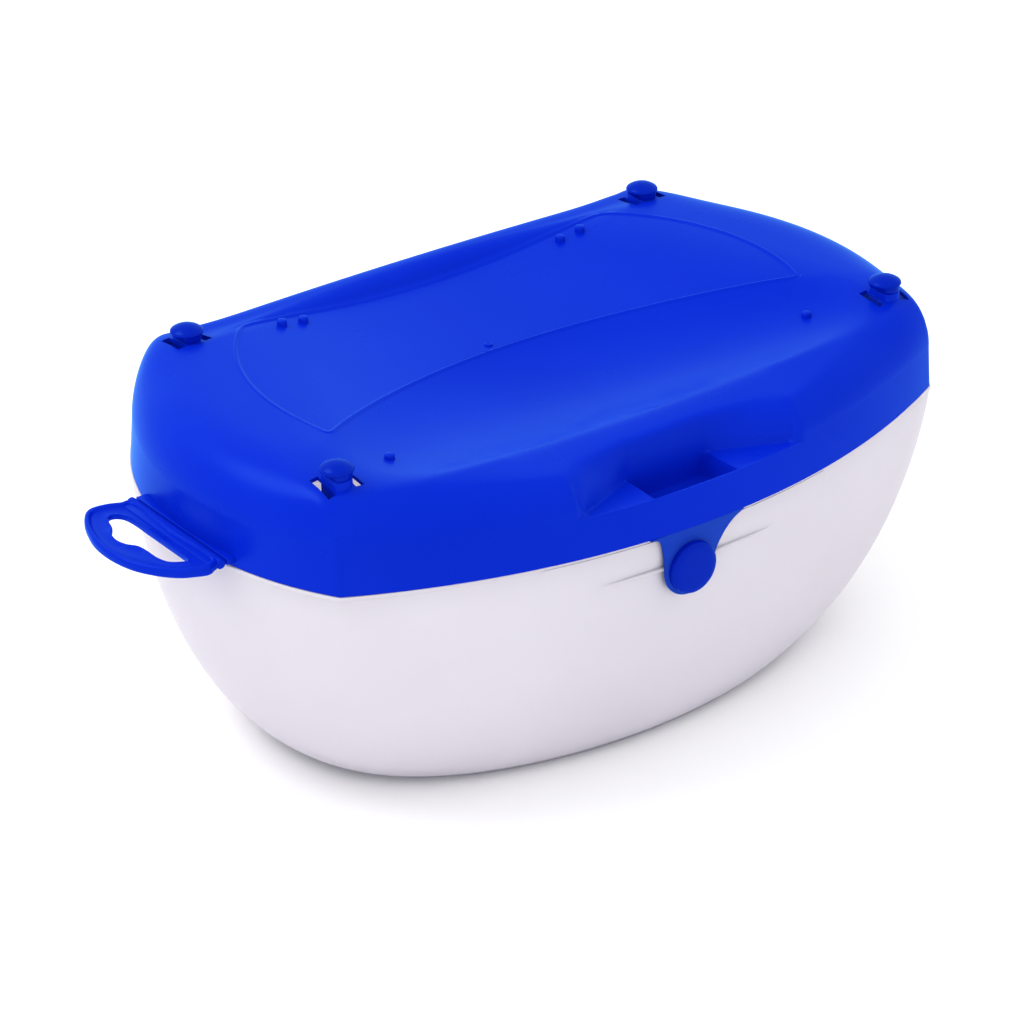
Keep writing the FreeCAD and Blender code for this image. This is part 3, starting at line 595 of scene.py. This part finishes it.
def extruded(name, outline_points, low, high, axis="X", edge=0.0):
    """A prism on a closed outline. Axis X takes (y, z) points, Y takes (x, z) and Z takes (x, y)."""
    count = len(outline_points)
    a, b = np.array(outline_points, float).T
    ends = []
    for place in (low, high):
        flat = np.full(count, place)
        ends.append(np.stack({"X": [flat, a, b], "Y": [a, flat, b], "Z": [a, b, flat]}[axis], -1))
    numbers = np.arange(count)
    faces = [tuple(f) for f in ring_faces(numbers, numbers + count)]
    faces += [tuple(numbers[::-1]), tuple(numbers + count)]
    if axis == "Y":
        faces = [tuple(reversed(f)) for f in faces]
    piece = build_mesh(name, np.concatenate(ends), faces)
    if edge:
        soften(piece, edge, 2)
    return piece


def curve_through(points, steps, closed=True):
    """A smooth (Catmull-Rom) line through given points."""
    points = np.array(points, float)
    count = len(points)
    padded = np.concatenate([points[-1:], points, points[:2]] if closed
                            else [points[:1], points, points[-1:]])
    t = open_shares(steps)[:, None]
    result = []
    for i in range(count if closed else count - 1):
        before, start, end, after = padded[i:i + 4]
        result.append(0.5 * (2 * start + (end - before) * t
                             + (2 * before - 5 * start + 4 * end - after) * t ** 2
                             + (3 * start - before - 3 * end + after) * t ** 3))
    if not closed:
        result.append(points[-1:])
    return np.concatenate(result)


def arc(centre, radius, start, end, steps):
    """Points of an arc given in degrees."""
    angle = np.radians(np.linspace(start, end, steps))
    return np.stack([centre[0] + radius * np.cos(angle), centre[1] + radius * np.sin(angle)], -1)


# ---------------- tub
TUB_REACH, TUB_RADIUS = 142.75, 409.0
SHARPEN, FRONT_TUCK, END_TUCK, BACK_TUCK = 209.0, 55.0, 85.6, 33.0
HULL_DEPTH = 139.6
TUB_TOP = RIM - 0.3
UPSTAND = 5.0
CORNER_ROUNDING = 32.5      # spread of the corner rounding at the keel
FRONT_PANEL = (-90.0, 81.0)             # the raised panel's ends, in x
PANEL_RISE, PANEL_FADE = 0.8, 1.5
BASE_EDGE = 2.5
BEAD_HEIGHT = 2.4
RIB_HEIGHT, RIB_HALF_LENGTH, RIB_MIDDLE = 113.4, 54.0, -7.0


def hull_tuck(depth):
    """How far the hull's sides are drawn in at a depth below the rim, 0 to 1."""
    share = np.clip(depth / HULL_DEPTH, 0, 1)
    return 1 - (1 - share ** 1.63) ** (1 / 2.5)


def hull_front(depth):
    """Centre y and radius of the hull's front arc at a depth below the rim."""
    tuck = hull_tuck(depth)
    return TUB_RADIUS - TUB_REACH - SHARPEN * tuck, TUB_RADIUS - (SHARPEN + FRONT_TUCK) * tuck


def hull_ring(z, inset, depth, shares):
    """One level outline of the tub, in from the hull's section at a depth by the inset."""
    tuck = hull_tuck(depth)
    middle, radius = hull_front(depth)
    front = (0, middle, radius - inset)
    end = (LID_END[0], LID_END[1], LID_END[2] - END_TUCK * tuck - inset)
    back = (0, LID_BACK[1], LID_BACK[2] - BACK_TUCK * tuck - inset)
    loop = outline(front, end, back, shares)
    spacing = np.linalg.norm(np.diff(loop, axis=0), axis=1).mean()
    loop = blur_rows(loop, CORNER_ROUNDING * depth / HULL_DEPTH / spacing)
    starts, ends = (smooth_step(loop[:, 0], x - PANEL_FADE, x + PANEL_FADE) for x in FRONT_PANEL)
    raised = starts * (1 - ends) * smooth_step(z, 96, 122) * (loop[:, 1] < -60) * (inset == 0)
    loop[:, 1] -= PANEL_RISE * raised
    return np.concatenate([loop, np.full((len(loop), 1), z)], -1)


def tub_body():
    """The hull, its rim bead and upstand, and the inside a wall's thickness behind them."""
    shares = [spread([0, 0.21, 0.25, 0.71, 0.76, 1], [40, 16, 84, 18, 44])[:-1]]
    shares += [open_shares(count) for count in (110, 156, 110)]
    rings = [hull_ring(0.0, BASE_EDGE, RIM - 0.3, shares),
             hull_ring(0.35, BASE_EDGE * 0.35, RIM - 0.6, shares)]
    bead_foot = TUB_TOP - BEAD_HEIGHT
    depths = BEAD_HEIGHT + (TUB_TOP - 1.4 - BEAD_HEIGHT) * np.linspace(1, 0, 44) ** 0.8
    rings += [hull_ring(TUB_TOP - depth, 0.0, depth, shares) for depth in depths]
    rings[-1][:, 2] = bead_foot
    for z, inset in ((bead_foot + 0.25, -0.45), (bead_foot + 0.6, -0.6), (TUB_TOP - 0.5, -0.6),
                     (TUB_TOP - 0.12, -0.45), (TUB_TOP, -0.1), (TUB_TOP, 2.6), (TUB_TOP + 0.3, 2.75),
                     (TUB_TOP + UPSTAND - 0.4, 3.5), (TUB_TOP + UPSTAND, 3.9), (TUB_TOP + UPSTAND, 5.1),
                     (TUB_TOP + UPSTAND - 0.4, 5.45), (TUB_TOP - 4, 5.5)):
        rings.append(hull_ring(z, inset, 0.0, shares))
    for depth in 9 + (TUB_TOP - WALL - 9.6) * np.linspace(0, 1, 34) ** 1.15:
        lower = WALL * 0.7 * min(depth / 40, 1)     # keeps the wall even where the hull turns under
        rings.append(hull_ring(TUB_TOP - depth, WALL, depth + lower, shares))
    rings.append(hull_ring(WALL, BASE_EDGE + WALL, RIM - WALL, shares))
    points, numbers, faces = grid_shell(np.array(rings))
    faces += [tuple(numbers[0][::-1]), tuple(numbers[-1])]
    return build_mesh("tub_body", points, faces, 50)


def catch_rib():
    """The rib that the latch tab hooks under: a long lens that fades into the hull at its ends."""
    middle, radius = hull_front(TUB_TOP - RIB_HEIGHT)
    bulge = arc((0, 0), 1, 90, 270, 9)
    sections = []
    for share in np.linspace(-1, 1, 41):
        x = RIB_MIDDLE + share * RIB_HALF_LENGTH
        hull = middle - math.sqrt(radius ** 2 - x ** 2)
        size = math.sqrt(max(1 - share ** 2, 0)) + 0.04
        y = np.append(hull + 0.9 + bulge[:, 0] * 3.4 * size, [hull + 1.4])
        z = np.append(RIB_HEIGHT + bulge[:, 1] * 1.2 * size, [RIB_HEIGHT])
        sections.append(np.stack([np.full(10, x), y, z], -1))
    points, numbers, faces = grid_shell(np.array(sections))
    faces += [tuple(numbers[0][::-1]), tuple(numbers[-1])]
    return build_mesh("rib", points, faces)


PINS = ("left_hinge_pin", "right_hinge_pin")


def hinge_places():
    """Middle and length of the hinge pins, from the frame."""
    corners = [box_mm(node) for node in PINS]
    return [((low + high) / 2, high[0] - low[0]) for low, high in corners]


EYE_RADIUS, EAR_THICKNESS, EAR_GAP, EAR_ROOT = 4.5, 4.0, 0.4, 103.4


def tub_ears():
    """Two ears at each hinge pin."""
    pieces = []
    for middle, length in hinge_places():
        y, z = middle[1:]
        eye = arc((y, z), EYE_RADIUS, -90, 90, 17)
        shape = np.concatenate([eye, [(EAR_ROOT, z + EYE_RADIUS), (EAR_ROOT, z - EYE_RADIUS - 5)]])
        for start in (middle[0] - length / 2, middle[0] + length / 2 - EAR_THICKNESS):
            pieces.append(extruded("ear", shape, start, start + EAR_THICKNESS, "X", 0.5))
    return pieces


def make_tub():
    """The tub with its catch rib and hinge ears."""
    return join([tub_body(), catch_rib()] + tub_ears(), "tub_shell")


# ---------------- lid extras
WINDOW_OFFSET, WINDOW_WIDTH, WINDOW_LENGTH = 7.7, 4.6, 15.0
BOSS_RADIUS, BOSS_HALF_WIDTH = 7.6, 4.7
BOSS_BOTTOM, BOSS_TOP = 167.0, 181.4
GATE = (-10.0, 12.0)
PEG_RADIUS, PEG_HEIGHT = 2.5, 2.6
PEGS = ((126.0, -67.0), (91.8, 70.4), (79.2, 70.4))
STUDS = ("front_left_stud", "front_right_stud", "back_left_stud", "back_right_stud")


def stud_centre(node):
    """Middle of a stud, from the frame."""
    low, high = box_mm(node)
    return (low + high) / 2


def lid_windows():
    """One cutter for the slots beside each stud's boss."""
    cutters = []
    for node in STUDS:
        x, y, _ = stud_centre(node)
        for sign in (-1, 1):
            middle = x + sign * WINDOW_OFFSET
            cutters.append(block("window", (middle - WINDOW_WIDTH / 2, y - WINDOW_LENGTH / 2, 140),
                                 (middle + WINDOW_WIDTH / 2, y + WINDOW_LENGTH / 2, 195)))
    return join(cutters, "windows")


def flat_sided_post(name, x, y, low, high):
    """A round post cut flat on its left and right sides."""
    flat = math.degrees(math.asin(BOSS_HALF_WIDTH / BOSS_RADIUS))
    front, back = (arc((x, y), BOSS_RADIUS, middle - flat, middle + flat, 13) for middle in (-90, 90))
    return extruded(name, np.concatenate([front, back]), low, high, "Z", 0.35)


def on_dish(x, y):
    """The point of the dished top over a place."""
    return x, y, float(dish_height(np.array(x), np.array(y)))


def lid_fittings():
    """The studs' bosses, the panel's gate mark and the pegs."""
    pieces = []
    for node in STUDS:
        x, y, _ = stud_centre(node)
        pieces.append(flat_sided_post("boss", x, y, BOSS_BOTTOM, BOSS_TOP))
    mark = [(0, -1), (2.4, -1), (2.2, 0.15), (1.5, 0.55), (1.1, 0.5), (0.6, 0.25), (0, 0.2)]
    pieces.append(turned("gate", mark, on_dish(*GATE), steps=32))
    peg = [(0, -1.5), (PEG_RADIUS + 0.25, -1.5), (PEG_RADIUS + 0.1, 0.0), (PEG_RADIUS, 0.5),
           (PEG_RADIUS - 0.05, PEG_HEIGHT - 0.7), (PEG_RADIUS - 0.35, PEG_HEIGHT - 0.2),
           (PEG_RADIUS - 0.9, PEG_HEIGHT), (0, PEG_HEIGHT + 0.05)]
    for x, y in PEGS:
        for sign in (-1, 1):
            pieces.append(turned("peg", peg, on_dish(sign * x, y), steps=32))
    return pieces


def hinge_barrels():
    """The lid's two barrels, each on an arm that comes down behind the tub."""
    arm = np.array([(-0.9, 6), (-0.9, 19.6), (-1.9, 21), (-8.4, 21), (-8.6, 15.6), (-4.3, 15.2), (-4.1, 6)])
    pieces = []
    for middle, length in hinge_places():
        half = length / 2 - EAR_THICKNESS - EAR_GAP
        eye = arc(middle[1:], EYE_RADIUS, 100, 435, 40)
        shape = np.concatenate([eye[:-1], middle[1:] + arm])
        pieces.append(extruded("barrel", shape, middle[0] - half, middle[0] + half, "X", 0.3))
    return pieces


def handle_root():
    """Front and back end of the handle's root, in y, from the frame."""
    low, high = box_mm("carry_handle")
    return low[1] + 5.6, high[1] - 3.2


FLANGE_END, FLANGE_GAP, FLANGE_HALF = -203.6, 0.35, 1.6


def handle_flange():
    """The lid's flange along the handle's groove."""
    low, high = box_mm("carry_handle")
    z = (low[2] + high[2]) / 2
    x0, x1 = high[0] + FLANGE_GAP, FLANGE_END
    y0, y1 = handle_root()
    plan = [(x0, y0), (x1 + 4.2, y0), (x1 + 1.0, lerp(y0, y1, 0.25)), (x1, lerp(y0, y1, 0.5)),
            (x1 + 1.2, lerp(y0, y1, 0.75)), (x1 + 4.8, y1), (x0, y1)]
    return extruded("flange", plan, z - FLANGE_HALF, z + FLANGE_HALF, "Z", 0.6)


def make_lid():
    """The dished shell with its windows cut, and everything that is moulded on it."""
    lid = lid_surface()
    cut(lid, lid_windows())
    shade(lid)
    return join([lid] + lid_fittings() + hinge_barrels() + [handle_flange()], "lid_shell")


# ---------------- studs
STUD_HEAD = 4.4             # height of the head over its flat underside
STUD_CROWN = 3.0            # rise of the head's dome


def make_stud(node):
    """Domed head on a flat-sided shoulder, with the neck and barbed foot in the lid's boss."""
    low, high = box_mm(node)
    x, y, _ = (low + high) / 2
    radius = (high[0] - low[0]) / 2
    top, under = high[2], high[2] - STUD_HEAD
    ball = (radius ** 2 + STUD_CROWN ** 2) / (2 * STUD_CROWN)
    dome = [(ball * math.sin(a), top - ball + ball * math.cos(a))
            for a in np.linspace(math.asin((radius - 0.5) / ball), 0.02, 16)]
    profile = [(0, low[2]), (2.3, low[2]), (2.9, low[2] + 0.7), (3.5, low[2] + 2.4), (3.4, low[2] + 2.8),
               (2.9, low[2] + 3.1), (2.9, under), (radius - 0.7, under), (radius - 0.2, under + 0.2),
               (radius, under + 0.7), (radius - 0.1, under + 1.2)] + dome + [(0, top)]
    head = turned("head", profile, (x, y, 0), steps=72)
    return join([head, flat_sided_post("shoulder", x, y, BOSS_TOP + 0.2, under + 0.6)], node + "_cap")


# ---------------- handle
HANDLE_OUTLINE = [(-208.8, -43), (-211.8, -48.5), (-215.6, -51.2), (-222.2, -48.8), (-228.6, -45.4),
                  (-236.1, -37.3), (-242.3, -26), (-245.2, -12), (-244.6, 2), (-240.6, 15.5), (-236, 24.6),
                  (-230.2, 30.6), (-221.5, 30.4), (-213.6, 27), (-208.8, 22)]
HANDLE_HOLE = [(-218.8, -36.5), (-222, -37.2), (-227.2, -33.5), (-229.2, -27), (-229.2, -19), (-230, -12.5),
               (-233.4, -7.6), (-234.8, -1.5), (-233.4, 4.6), (-229.8, 9.8), (-228.2, 15.5), (-225.2, 19.8),
               (-221.2, 18.6), (-218.6, 12.5), (-218.6, -10)]


HANDLE_MIDDLE = np.array([-224.6, -10.0])       # both outlines are seen whole from here
OUTER_BEAD = ((0.0, 0.9), (0.25, 1.75), (0.8, 2.3), (1.7, 2.5), (2.7, 2.35), (3.4, 1.8), (3.9, 1.15),
              (4.4, 0.9))       # (distance in from the edge, half thickness), and from the hole's edge below
INNER_BEAD = ((2.0, 0.95), (1.5, 1.3), (0.8, 1.5), (0.25, 1.3), (0.0, 0.7))
WEB_HALF = 0.9


def star(points):
    """A smooth closed line through the points, taken at even bearings from the handle's middle."""
    angles = 2 * math.pi * open_shares(240)
    line = curve_through(points, 12) - HANDLE_MIDDLE
    bearing = np.mod(np.arctan2(line[:, 1], line[:, 0]), 2 * math.pi)
    order = np.argsort(bearing)
    radius = np.hypot(line[:, 0], line[:, 1])[order]
    reach = np.interp(angles, bearing[order], radius, period=2 * math.pi)
    return np.stack([np.cos(angles), np.sin(angles)], -1) * blur_rows(reach[:, None], 1.2) + HANDLE_MIDDLE


def handle_plate(middle):
    """The loop: a bead round its outside, a thin web and a smaller bead round the finger hole."""
    outer, hole = star(HANDLE_OUTLINE), star(HANDLE_HOLE)
    width = np.linalg.norm(outer - hole, axis=1)
    rings = [(np.minimum(start, width * 0.42) / width, half) for start, half in OUTER_BEAD]
    rings.append((lerp(rings[-1][0], 1 - 2.4 / width, 0.6), WEB_HALF))
    rings += [(1 - np.minimum(back, width * 0.4) / width, half) for back, half in INNER_BEAD]
    loops = []
    for side in (1, -1):
        for share, half in rings[::side]:
            plan = outer + (hole - outer) * share[:, None]
            loops.append(np.concatenate([plan, np.full((len(plan), 1), middle + side * half)], -1))
    points, numbers, faces = grid_shell(np.array(loops))
    faces += [tuple(f) for f in ring_faces(numbers[-1], numbers[0])]
    return build_mesh("plate", points, faces)


def make_handle():
    """The plate, with the round ridge and the thin root that it folds about."""
    low, high = box_mm("carry_handle")
    middle = (low[2] + high[2]) / 2
    axis_x, radius, chamfer = high[0] - 2.6, 2.5, 0.5
    y0, y1 = handle_root()
    profile = [(0, -y1), (radius - chamfer, -y1), (radius, chamfer - y1), (radius, -y0 - chamfer),
               (radius - chamfer, -y0), (0, -y0)]
    ridge = turned("ridge", profile, (axis_x, 0, middle), "-Y", 32)
    root = block("root", (axis_x - 6.5, y0 + 1.5, middle - 1.5), (axis_x, y1 - 1.5, middle + 1.5), 0.4)
    return join([handle_plate(middle), ridge, root], "handle_grip")


# ---------------- latch
TAB_END_RADIUS = 14.6
TAB_END_SHIFT = -0.6        # from the button's middle to the middle of the tab's round end


def make_latch_tab():
    """A flared tab: its flares and waist are curves, and its lower end is an arc round the button."""
    low, high = box_mm("latch_tab")
    button_low, button_high = box_mm("latch_button")
    x, z = (button_low[0] + button_high[0]) / 2, (button_low[2] + button_high[2]) / 2
    top = high[2]
    end = arc((x + TAB_END_SHIFT, z), TAB_END_RADIUS, 0, -180, 33)
    right = [(high[0], top), (high[0], top - 0.6), (17.0, top - 3.4), (12.2, top - 7.7), (8.6, top - 12.5),
             (6.2, top - 17)]
    left = [(-24.2, top - 17), (-24.8, top - 12), (-25.9, top - 6), (-27.4, top - 2.6), (-30.2, top - 0.8),
            (low[0] + 0.6, top - 0.3), (low[0], top)]
    shape = np.concatenate([curve_through(right, 8, False), end, curve_through(left, 8, False)])
    return extruded("latch_flap", shape, low[1], high[1], "Y", 0.3)


def make_button():
    """A flat-domed button with a rounded rim, and its rivet through the tab."""
    low, high = box_mm("latch_button")
    x, z = (low[0] + high[0]) / 2, (low[2] + high[2]) / 2
    radius = (high[0] - low[0]) / 2
    back, front = box_mm("latch_tab")[0][1], low[1]
    depth = back - front
    profile = [(0, high[1]), (4.9, high[1]), (5.0, back), (radius - 0.5, back),
               (radius - 0.05, back - 0.3), (radius, back - 0.9), (radius - 0.1, back - depth * 0.62),
               (radius - 0.5, back - depth * 0.8), (radius - 1.3, back - depth * 0.93),
               (radius * 0.72, back - depth * 0.985), (radius * 0.4, front + 0.02), (0, front)]
    points = [(r, -y) for r, y in profile]
    return turned("latch_knob", points, (x, 0, z), "-Y", 96)


# ---------------- materials
def node_material(name):
    """A new material with its nodes and links."""
    material = bpy.data.materials.new(name)
    material.use_nodes = True
    return material, material.node_tree.nodes, material.node_tree.links


def noise(nodes, links, scale, detail, low, high):
    """A noise field in object space, mapped to a range."""
    place = nodes.new("ShaderNodeTexCoord")
    field = nodes.new("ShaderNodeTexNoise")
    field.inputs["Scale"].default_value = scale
    field.inputs["Detail"].default_value = detail
    links.new(place.outputs["Object"], field.inputs["Vector"])
    span = nodes.new("ShaderNodeMapRange")
    span.clamp = False
    span.inputs["From Min"].default_value = 0.3
    span.inputs["From Max"].default_value = 0.7
    span.inputs["To Min"].default_value = low
    span.inputs["To Max"].default_value = high
    links.new(field.outputs["Fac"], span.inputs["Value"])
    return span.outputs["Result"]


def grain(nodes, links, scale, strength, distance):
    """A faint moulded surface texture as a bump."""
    bump = nodes.new("ShaderNodeBump")
    bump.inputs["Strength"].default_value = strength
    bump.inputs["Distance"].default_value = distance
    links.new(noise(nodes, links, scale, 3.0, 0.0, 1.0), bump.inputs["Height"])
    return bump.outputs["Normal"]


def mixed_colour(nodes, links, share, first, second):
    """Two colours mixed by a value from 0 to 1."""
    mix = nodes.new("ShaderNodeMix")
    mix.data_type = "RGBA"
    mix.inputs["A"].default_value = (*first, 1)
    mix.inputs["B"].default_value = (*second, 1)
    links.new(share, mix.inputs["Factor"])
    return mix.outputs["Result"]


def multiplied(nodes, links, first, second):
    """The product of two colours."""
    mix = nodes.new("ShaderNodeMix")
    mix.data_type = "RGBA"
    mix.blend_type = "MULTIPLY"
    mix.inputs["Factor"].default_value = 1.0
    links.new(first, mix.inputs["A"])
    links.new(second, mix.inputs["B"])
    return mix.outputs["Result"]


def painted_crease_shade(nodes, links, reach):
    """Painted shade mask from ambient occlusion: 0 in tight creases to 1 on open surface, so that edges and
    ribs show as darker, shaded lines through the milky plastic.
    """
    shut = nodes.new("ShaderNodeAmbientOcclusion")
    shut.inputs["Distance"].default_value = reach
    span = nodes.new("ShaderNodeMapRange")
    span.inputs["From Min"].default_value = 0.25
    span.inputs["From Max"].default_value = 0.85
    links.new(shut.outputs["AO"], span.inputs["Value"])
    open_side = nodes.new("ShaderNodeMath")
    open_side.operation = "MAXIMUM"
    links.new(span.outputs["Result"], open_side.inputs[0])
    links.new(nodes.new("ShaderNodeNewGeometry").outputs["Backfacing"], open_side.inputs[1])
    return open_side.outputs["Value"]


def blended(nodes, links, first, second, share):
    """Two shaders mixed in a fixed share of the second."""
    mix = nodes.new("ShaderNodeMixShader")
    mix.inputs["Fac"].default_value = share
    links.new(first, mix.inputs[1])
    links.new(second, mix.inputs[2])
    return mix.outputs["Shader"]


def blue_plastic(name, first, second, roughness, clearness):
    """Moulded polypropylene: nearly even colour and a satin gloss; clearness lets some light through."""
    material, nodes, links = node_material(name)
    shader = nodes["Principled BSDF"]
    links.new(mixed_colour(nodes, links, noise(nodes, links, 9, 4, 0, 1), first, second),
              shader.inputs["Base Color"])
    shader.inputs["Specular IOR Level"].default_value = 0.0
    gloss = nodes.new("ShaderNodeBsdfGlossy")
    gloss.inputs["Color"].default_value = (0.14, 0.42, 1.0, 1)
    links.new(noise(nodes, links, 60, 3, roughness - 0.03, roughness + 0.04), gloss.inputs["Roughness"])
    normal = grain(nodes, links, 260, 0.04, 0.0002)
    for target in (shader, gloss):
        links.new(normal, target.inputs["Normal"])
    edge = nodes.new("ShaderNodeFresnel")
    edge.inputs["IOR"].default_value = 1.3
    coat = nodes.new("ShaderNodeMixShader")
    links.new(edge.outputs["Fac"], coat.inputs["Fac"])
    links.new(shader.outputs["BSDF"], coat.inputs[1])
    links.new(gloss.outputs["BSDF"], coat.inputs[2])
    surface = coat.outputs["Shader"]
    if clearness:
        through = nodes.new("ShaderNodeBsdfTranslucent")
        through.inputs["Color"].default_value = (*second, 1)
        surface = blended(nodes, links, surface, through.outputs["BSDF"], clearness)
    links.new(surface, nodes["Material Output"].inputs["Surface"])
    return material


def clear_plastic():
    """Milky polypropylene: light scatters through the wall, with a soft gloss, faint flow marks and painted
    shade that greys its creases.
    """
    material, nodes, links = node_material("milky_polypropylene")
    shader = nodes["Principled BSDF"]
    # painted shade: ambient occlusion marks creases, the rib and the corners for darkening
    painted_shade_mask = painted_crease_shade(nodes, links, 0.006)
    marks = noise(nodes, links, 14, 5, 0, 1)
    milky = mixed_colour(nodes, links, marks, (0.86, 0.84, 0.88), (0.90, 0.88, 0.92))
    # painted shade: the surface colour turns grey where the ambient occlusion finds a crease
    painted_crease_tint = mixed_colour(nodes, links, painted_shade_mask, (0.30, 0.31, 0.36), (1, 1, 1))
    links.new(multiplied(nodes, links, milky, painted_crease_tint), shader.inputs["Base Color"])
    links.new(noise(nodes, links, 40, 3, 0.34, 0.46), shader.inputs["Roughness"])
    shader.inputs["Specular IOR Level"].default_value = 0.35
    links.new(grain(nodes, links, 120, 0.1, 0.0003), shader.inputs["Normal"])
    through = nodes.new("ShaderNodeBsdfTranslucent")
    # painted shade: the light let through the wall is greyed in the same creases
    painted_shade_through_colour = mixed_colour(nodes, links, painted_shade_mask, (0.32, 0.33, 0.38), (0.95, 0.925, 0.95))
    links.new(painted_shade_through_colour, through.inputs["Color"])
    clear = nodes.new("ShaderNodeBsdfTransparent")
    clear.inputs["Color"].default_value = (0.97, 0.94, 0.98, 1)
    cloudy = blended(nodes, links, shader.outputs["BSDF"], through.outputs["BSDF"], 0.45)
    surface = blended(nodes, links, cloudy, clear.outputs["BSDF"], 0.14)
    links.new(surface, nodes["Material Output"].inputs["Surface"])
    return material


def paint(piece, material):
    """Gives a piece one material."""
    piece.data.materials.clear()
    piece.data.materials.append(material)


# ---------------- build
LID_BLUE = blue_plastic("blue_polypropylene", (0.0, 0.011, 0.44), (0.001, 0.015, 0.48), 0.30, 0.0)
FLAP_BLUE = blue_plastic("thin_blue_polypropylene", (0.008, 0.04, 0.48), (0.014, 0.055, 0.52), 0.34, 0.25)
DEEP_BLUE = blue_plastic("deep_blue_polypropylene", (0.0, 0.007, 0.33), (0.0, 0.010, 0.37), 0.24, 0.0)
MILKY = clear_plastic()

pieces = [
    (make_lid(), "lid", "lid", "blue_plastic", LID_BLUE),
    (make_tub(), "tub", "tub", "clear_plastic", MILKY),
    (make_handle(), "handle", "carry_handle", "blue_plastic", LID_BLUE),
    (make_latch_tab(), "latch", "latch_tab", "blue_plastic", FLAP_BLUE),
    (make_button(), "latch", "latch_button", "dark_blue_plastic", DEEP_BLUE),
]
pieces += [(make_stud(node), "lid", node, "dark_blue_plastic", DEEP_BLUE) for node in STUDS]
for piece, body, node, slot_name, material in pieces:
    paint(piece, material)
    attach(piece, body)
    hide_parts(node)
for node in PINS:
    paint(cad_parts[node], MILKY)


# ---------------- floor, light and camera
FLOOR_REACH = 6000.0


def make_floor():
    """A plain pale floor."""
    material, nodes, links = node_material("pale_floor")
    shader = nodes["Principled BSDF"]
    patches = mixed_colour(nodes, links, noise(nodes, links, 2, 2, 0, 1), (0.93,) * 3, (0.95,) * 3)
    links.new(patches, shader.inputs["Base Color"])
    shader.inputs["Roughness"].default_value = 0.9
    corners = [(x * FLOOR_REACH, y * FLOOR_REACH, 0) for x, y in ((-1, -1), (1, -1), (1, 1), (-1, 1))]
    floor = build_mesh("floor", corners, [(0, 1, 2, 3)])
    paint(floor, material)


def soft_light(name, place, target, size, power):
    """A round area light aimed at a target; places are in metres."""
    lamp = bpy.data.lights.new(name, "AREA")
    lamp.shape = "DISK"
    lamp.size = size
    lamp.energy = power
    holder = bpy.data.objects.new(name, lamp)
    bpy.context.scene.collection.objects.link(holder)
    holder.location = place
    holder.rotation_euler = (Vector(target) - Vector(place)).to_track_quat("-Z", "Y").to_euler()


def make_camera():
    """The photograph's view: 37 degrees round from the front to the left, looking 28 degrees down."""
    azimuth, elevation = math.radians(37.10), math.radians(28.13)
    target = Vector((-0.00067, 0.00527, 0.0732))
    reach = 2.14205
    back = Vector((-math.sin(azimuth) * math.cos(elevation), -math.cos(azimuth) * math.cos(elevation),
                   math.sin(elevation)))
    camera = bpy.data.cameras.new("camera")
    camera.lens = 150.9
    camera.sensor_width = 36
    camera.clip_end = 30
    holder = bpy.data.objects.new("camera", camera)
    bpy.context.scene.collection.objects.link(holder)
    holder.location = target + back * reach
    holder.rotation_euler = (-back).to_track_quat("-Z", "Y").to_euler()
    bpy.context.scene.camera = holder


def make_world():
    """Even white light from all round."""
    world = bpy.data.worlds.new("studio")
    world.use_nodes = True
    background = world.node_tree.nodes["Background"]
    background.inputs["Color"].default_value = (1, 1, 1, 1)
    background.inputs["Strength"].default_value = 1.25
    bpy.context.scene.world = world
    bpy.context.scene.view_settings.view_transform = "Standard"


make_floor()
make_world()
soft_light("key", (-1.2, 0.9, 2.2), (0, 0, 0.1), 1.4, 24)
soft_light("fill", (-1.6, -1.8, 1.2), (0, 0, 0.08), 1.8, 3)
make_camera()
